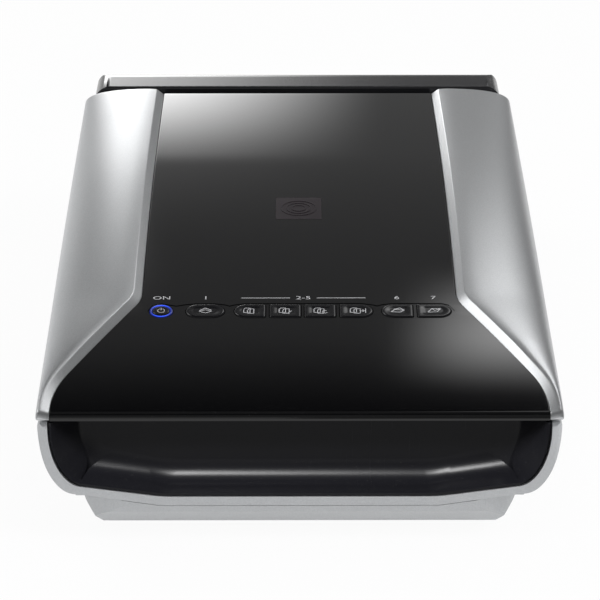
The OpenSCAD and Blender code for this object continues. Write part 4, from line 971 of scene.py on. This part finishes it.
def make_row_group():
    tree = bpy.data.node_groups.new("row_of_blocks", "GeometryNodeTree")
    for title, kind in (("Count", "Int"), ("Start", "Vector"), ("Step", "Vector"),
                        ("Block Size", "Vector"), ("Material", "Material")):
        tree.interface.new_socket(title, in_out="INPUT", socket_type="NodeSocket" + kind)
    tree.interface.new_socket("Geometry", in_out="OUTPUT", socket_type="NodeSocketGeometry")
    given, result = tree.nodes.new("NodeGroupInput"), tree.nodes.new("NodeGroupOutput")
    line = node(tree, "MeshLine", {"Count": given.outputs["Count"],
                                   "Start Location": given.outputs["Start"],
                                   "Offset": given.outputs["Step"]})
    block = node(tree, "MeshCube", {"Size": given.outputs["Block Size"]})
    placed = node(tree, "InstanceOnPoints", {"Points": line.outputs["Mesh"],
                                             "Instance": block.outputs["Mesh"]})
    real = node(tree, "RealizeInstances", {"Geometry": placed.outputs["Instances"]})
    dressed = node(tree, "SetMaterial", {"Geometry": real.outputs["Geometry"],
                                         "Material": given.outputs["Material"]})
    give(tree, result, {"Geometry": dressed.outputs["Geometry"]})
    return tree


ROW = make_row_group()


def row(name, count, start, step, block, body, material):
    made = new_object(name, [(0, 0, 0)], [])
    change = made.modifiers.new("row", "NODES")
    change.node_group = ROW
    values = {"Count": count, "Start": Vector(start) * MM, "Step": Vector(step) * MM,
              "Block Size": Vector(block) * MM, "Material": material}
    for item in ROW.interface.items_tree:
        if item.in_out == "INPUT":
            value = values[item.name]
            change[item.identifier] = list(value) if isinstance(value, Vector) else value
    settle(made)
    return complete(made, body, material)


TICK_W, TICK_T = 0.3, 0.04
SHORT_TICK, LONG_TICK = ("short", 5, 2.0, 3.5), ("long", 10, 4.4, 4.7)
ruler_corner = Vector((-GLASS_W / 2, GLASS_Y - GLASS_L / 2, DECK_Z + TICK_T / 2))
for edge, run, along, out in (("side", GLASS_L, Vector((0, 1, 0)), Vector((1, 0, 0))),
                              ("end", GLASS_W, Vector((1, 0, 0)), Vector((0, 1, 0)))):
    for size, pitch, length, off in (SHORT_TICK, LONG_TICK):
        tick = out * length + along * TICK_W + Vector((0, 0, TICK_T))
        row("ruler_" + edge + "_" + size, int(run // pitch) + 1, ruler_corner - out * off,
            along * pitch, tick, "base", PRINT_GREY)

# ---- finishes of the pieces kept from the frame ----
FINISHES = (
    (SILVER_BASE, "lower_tray"),
    (NEUTRAL_GLASS, "platen_glass"),
    (DARK_GREY, "platen_frame rod_holders support_rail lock_switch belt_clamp lid_inner_shell"),
    (SATIN_BLACK, "rear_panel power_socket carriage_frame lens_barrel"),
    (WHITE_PLASTIC, "calibration_strip flat_cable glide_pads drive_gear idler_pulley"),
    (PLATED_STEEL, "usb_socket guide_rod drive_motor motor_bracket gear_studs belt_tensioner"
                   " tension_spring case_screws left_hinge_bracket right_hinge_bracket lid_screws"
                   " hinge_pins"),
    (BRONZE, "rod_bushes motor_pinion"),
    (BOARD_GREEN, "main_board sensor_board button_board"),
    (LAMP_WHITE, "scan_lamp film_lamp_board"),
    (MIRROR, "fold_mirrors"),
    (FROSTED, "light_guide diffuser_window"),
    (TILE_PLUM, "emblem_tile"),
    (WHITE_MAT, "document_mat"),
    (RUBBER, "drive_belt rubber_feet lid_bumpers"),
)
for material, names in FINISHES:
    for name in names.split():
        dress(nodes[name].data, material)

# ---- studio: floor, reflected walls and lamps ----
FLOOR_HALF, FLOOR_WHITE, FLOOR_GREY, TENT_R = 6000, 0.94, 0.88, 3.0
WHITE = (1.0, 1.0, 1.0, 1.0)


def emptied(owner):
    """The node tree of a new material or world, without the nodes that it starts with."""
    owner.use_nodes = True
    owner.node_tree.nodes.clear()
    return owner.node_tree


def background_ray(tree):
    """One for a ray that comes from the camera, or off metal or through glass."""
    rays = node(tree, "LightPath")
    seen = calc(tree, "MAXIMUM", rays.outputs["Is Camera Ray"], rays.outputs["Is Glossy Ray"])
    return calc(tree, "MAXIMUM", seen, rays.outputs["Is Transmission Ray"])


def make_floor():
    half = FLOOR_HALF
    floor = new_object("studio_floor", [(-half, -half, 0), (half, -half, 0), (half, half, 0),
                                        (-half, half, 0)], [[0, 1, 2, 3]])
    made = bpy.data.materials.new("floor_white")
    tree = emptied(made)
    diffuse = node(tree, "BsdfDiffuse", {"Color": (FLOOR_GREY, FLOOR_GREY, FLOOR_GREY, 1.0)})
    glow = node(tree, "Emission", {"Color": WHITE, "Strength": 1.0})
    seen = product(tree, background_ray(tree), FLOOR_WHITE)
    mixed = node(tree, "MixShader", {0: seen, 1: diffuse.outputs[0], 2: glow.outputs[0]})
    node(tree, "OutputMaterial", {"Surface": mixed.outputs[0]})
    floor.data.materials.append(made)


def fade(tree, value, start, end, low=0.0, high=1.0):
    """Runs smoothly from low, where value is at start, to high, where it is at end."""
    made = node(tree, "MapRange", {"Value": value, "From Min": start, "From Max": end,
                                   "To Min": low, "To Max": high},
                interpolation_type="SMOOTHSTEP")
    return made.outputs["Result"]


def soft_box(tree, way, turn, rise, inner, outer, strength):
    """A round light on the tent, turned and raised by degrees, that fades between two radii."""
    a, b = radians(turn), radians(rise)
    aim = (cos(b) * sin(a), cos(b) * cos(a), sin(b))
    facing = node(tree, "VectorMath", {0: way, 1: aim}, operation="DOT_PRODUCT")
    return fade(tree, facing.outputs["Value"], cos(radians(outer)), cos(radians(inner)), 0.0,
                strength)


def make_tent():
    """Walls that only reflections see: dim grey, with a low bright screen behind on the left,
    a long strip higher up on the right, and a round light at the left."""
    bpy.ops.mesh.primitive_uv_sphere_add(segments=48, ring_count=24, radius=TENT_R)
    tent = bpy.context.object
    tent.name = "studio_tent"
    made = bpy.data.materials.new("tent_light")
    tree = emptied(made)
    place = object_place(tree)
    way = node(tree, "VectorMath", {0: place}, operation="NORMALIZE").outputs[0]
    split = node(tree, "SeparateXYZ", {0: way})
    degrees = 180 / pi
    rise = product(tree, calc(tree, "ARCSINE", split.outputs["Z"]), degrees)
    turn = product(tree, calc(tree, "ARCTAN2", split.outputs["X"], split.outputs["Y"]), degrees)

    def high(*ends):
        return fade(tree, rise, *ends)

    def aside(*ends):
        return fade(tree, turn, *ends)

    lights = [
        # dim walls, darkest where the front of the panel looks, and a soft ceiling
        high(57, 46, 0.02, 0.22),
        high(58, 78, 0.0, 0.12),
        # low screen behind, on the left, with a faint edge above and a hot end
        product(tree, high(23, 13, 0.0, 4.7), aside(3, -6.5), aside(-16, -7, 0.08, 1.0)),
        product(tree, high(36, 18, 0.0, 0.15), aside(3, -6.5)),
        product(tree, high(46, 22, 0.0, 1.9), high(14, 22), aside(-4.8, -8), aside(-13, -9)),
        # long strip higher up on the right, and the softer wall beyond it
        product(tree, high(38, 47, 0.0, 3.3), high(54, 47), aside(4, 9.5), aside(46, 26)),
        product(tree, high(12, 52, 0.0, 1.3), high(86, 68), aside(13, 22), aside(50, 34)),
        soft_box(tree, way, -67, 47, 6, 18, 3.7),
    ]
    total = lights[0]
    for light in lights[1:]:
        total = calc(tree, "ADD", total, light)
    glow = node(tree, "Emission", {"Color": WHITE, "Strength": total})
    node(tree, "OutputMaterial", {"Surface": glow.outputs[0]})
    tent.data.materials.append(made)
    for kind in ("camera", "diffuse", "transmission", "volume_scatter", "shadow"):
        setattr(tent, "visible_" + kind, False)


def make_world():
    world = bpy.data.worlds.new("studio_world")
    bpy.context.scene.world = world
    tree = emptied(world)
    soft = node(tree, "Background", {"Color": (0.97, 0.98, 1.0, 1.0), "Strength": 0.5})
    white = node(tree, "Background", {"Color": WHITE, "Strength": 1.0})
    mixed = node(tree, "MixShader", {0: background_ray(tree), 1: soft.outputs[0],
                                     2: white.outputs[0]})
    node(tree, "OutputWorld", {"Surface": mixed.outputs[0]})


def lamp(name, place, target, size, power, glossy=True):
    data = bpy.data.lights.new(name, "AREA")
    data.shape = "RECTANGLE"
    data.size, data.size_y = size
    data.energy = power
    made = put_in_scene(name, data)
    made.location = place
    made.rotation_euler = (Vector(target) - Vector(place)).to_track_quat("-Z", "Y").to_euler()
    made.visible_camera = False
    made.visible_glossy = glossy
    return made


bpy.context.scene.view_settings.view_transform = "Standard"
bpy.context.scene.view_settings.look = "None"
make_floor()
make_tent()
make_world()
lamp("lamp_left_rear", (-1.2, 1.0, 1.4), (-0.05, 0.0, 0.05), (1.0, 0.8), 7.0, glossy=False)
lamp("lamp_right_front", (1.3, -0.6, 1.3), (0.05, -0.1, 0.05), (0.9, 0.9), 15.0, glossy=False)
lamp("lamp_top", (0.0, -0.2, 1.9), (0.0, 0.0, 0.05), (1.2, 1.2), 6.0, glossy=False)
# a soft front light kept off the lid's nose, which lies in its own shade in the photograph
grip_lamp = lamp("lamp_grip", (-0.33, -1.0, 1.22), (-0.05, -0.22, 0.03), (0.55, 0.5), 62.0)
grip_lamp.light_linking.receiver_collection = bpy.data.collections.new("lit_by_grip_lamp")
grip_lamp.light_linking.receiver_collection.objects.link(bpy.data.objects["grip_liner"])
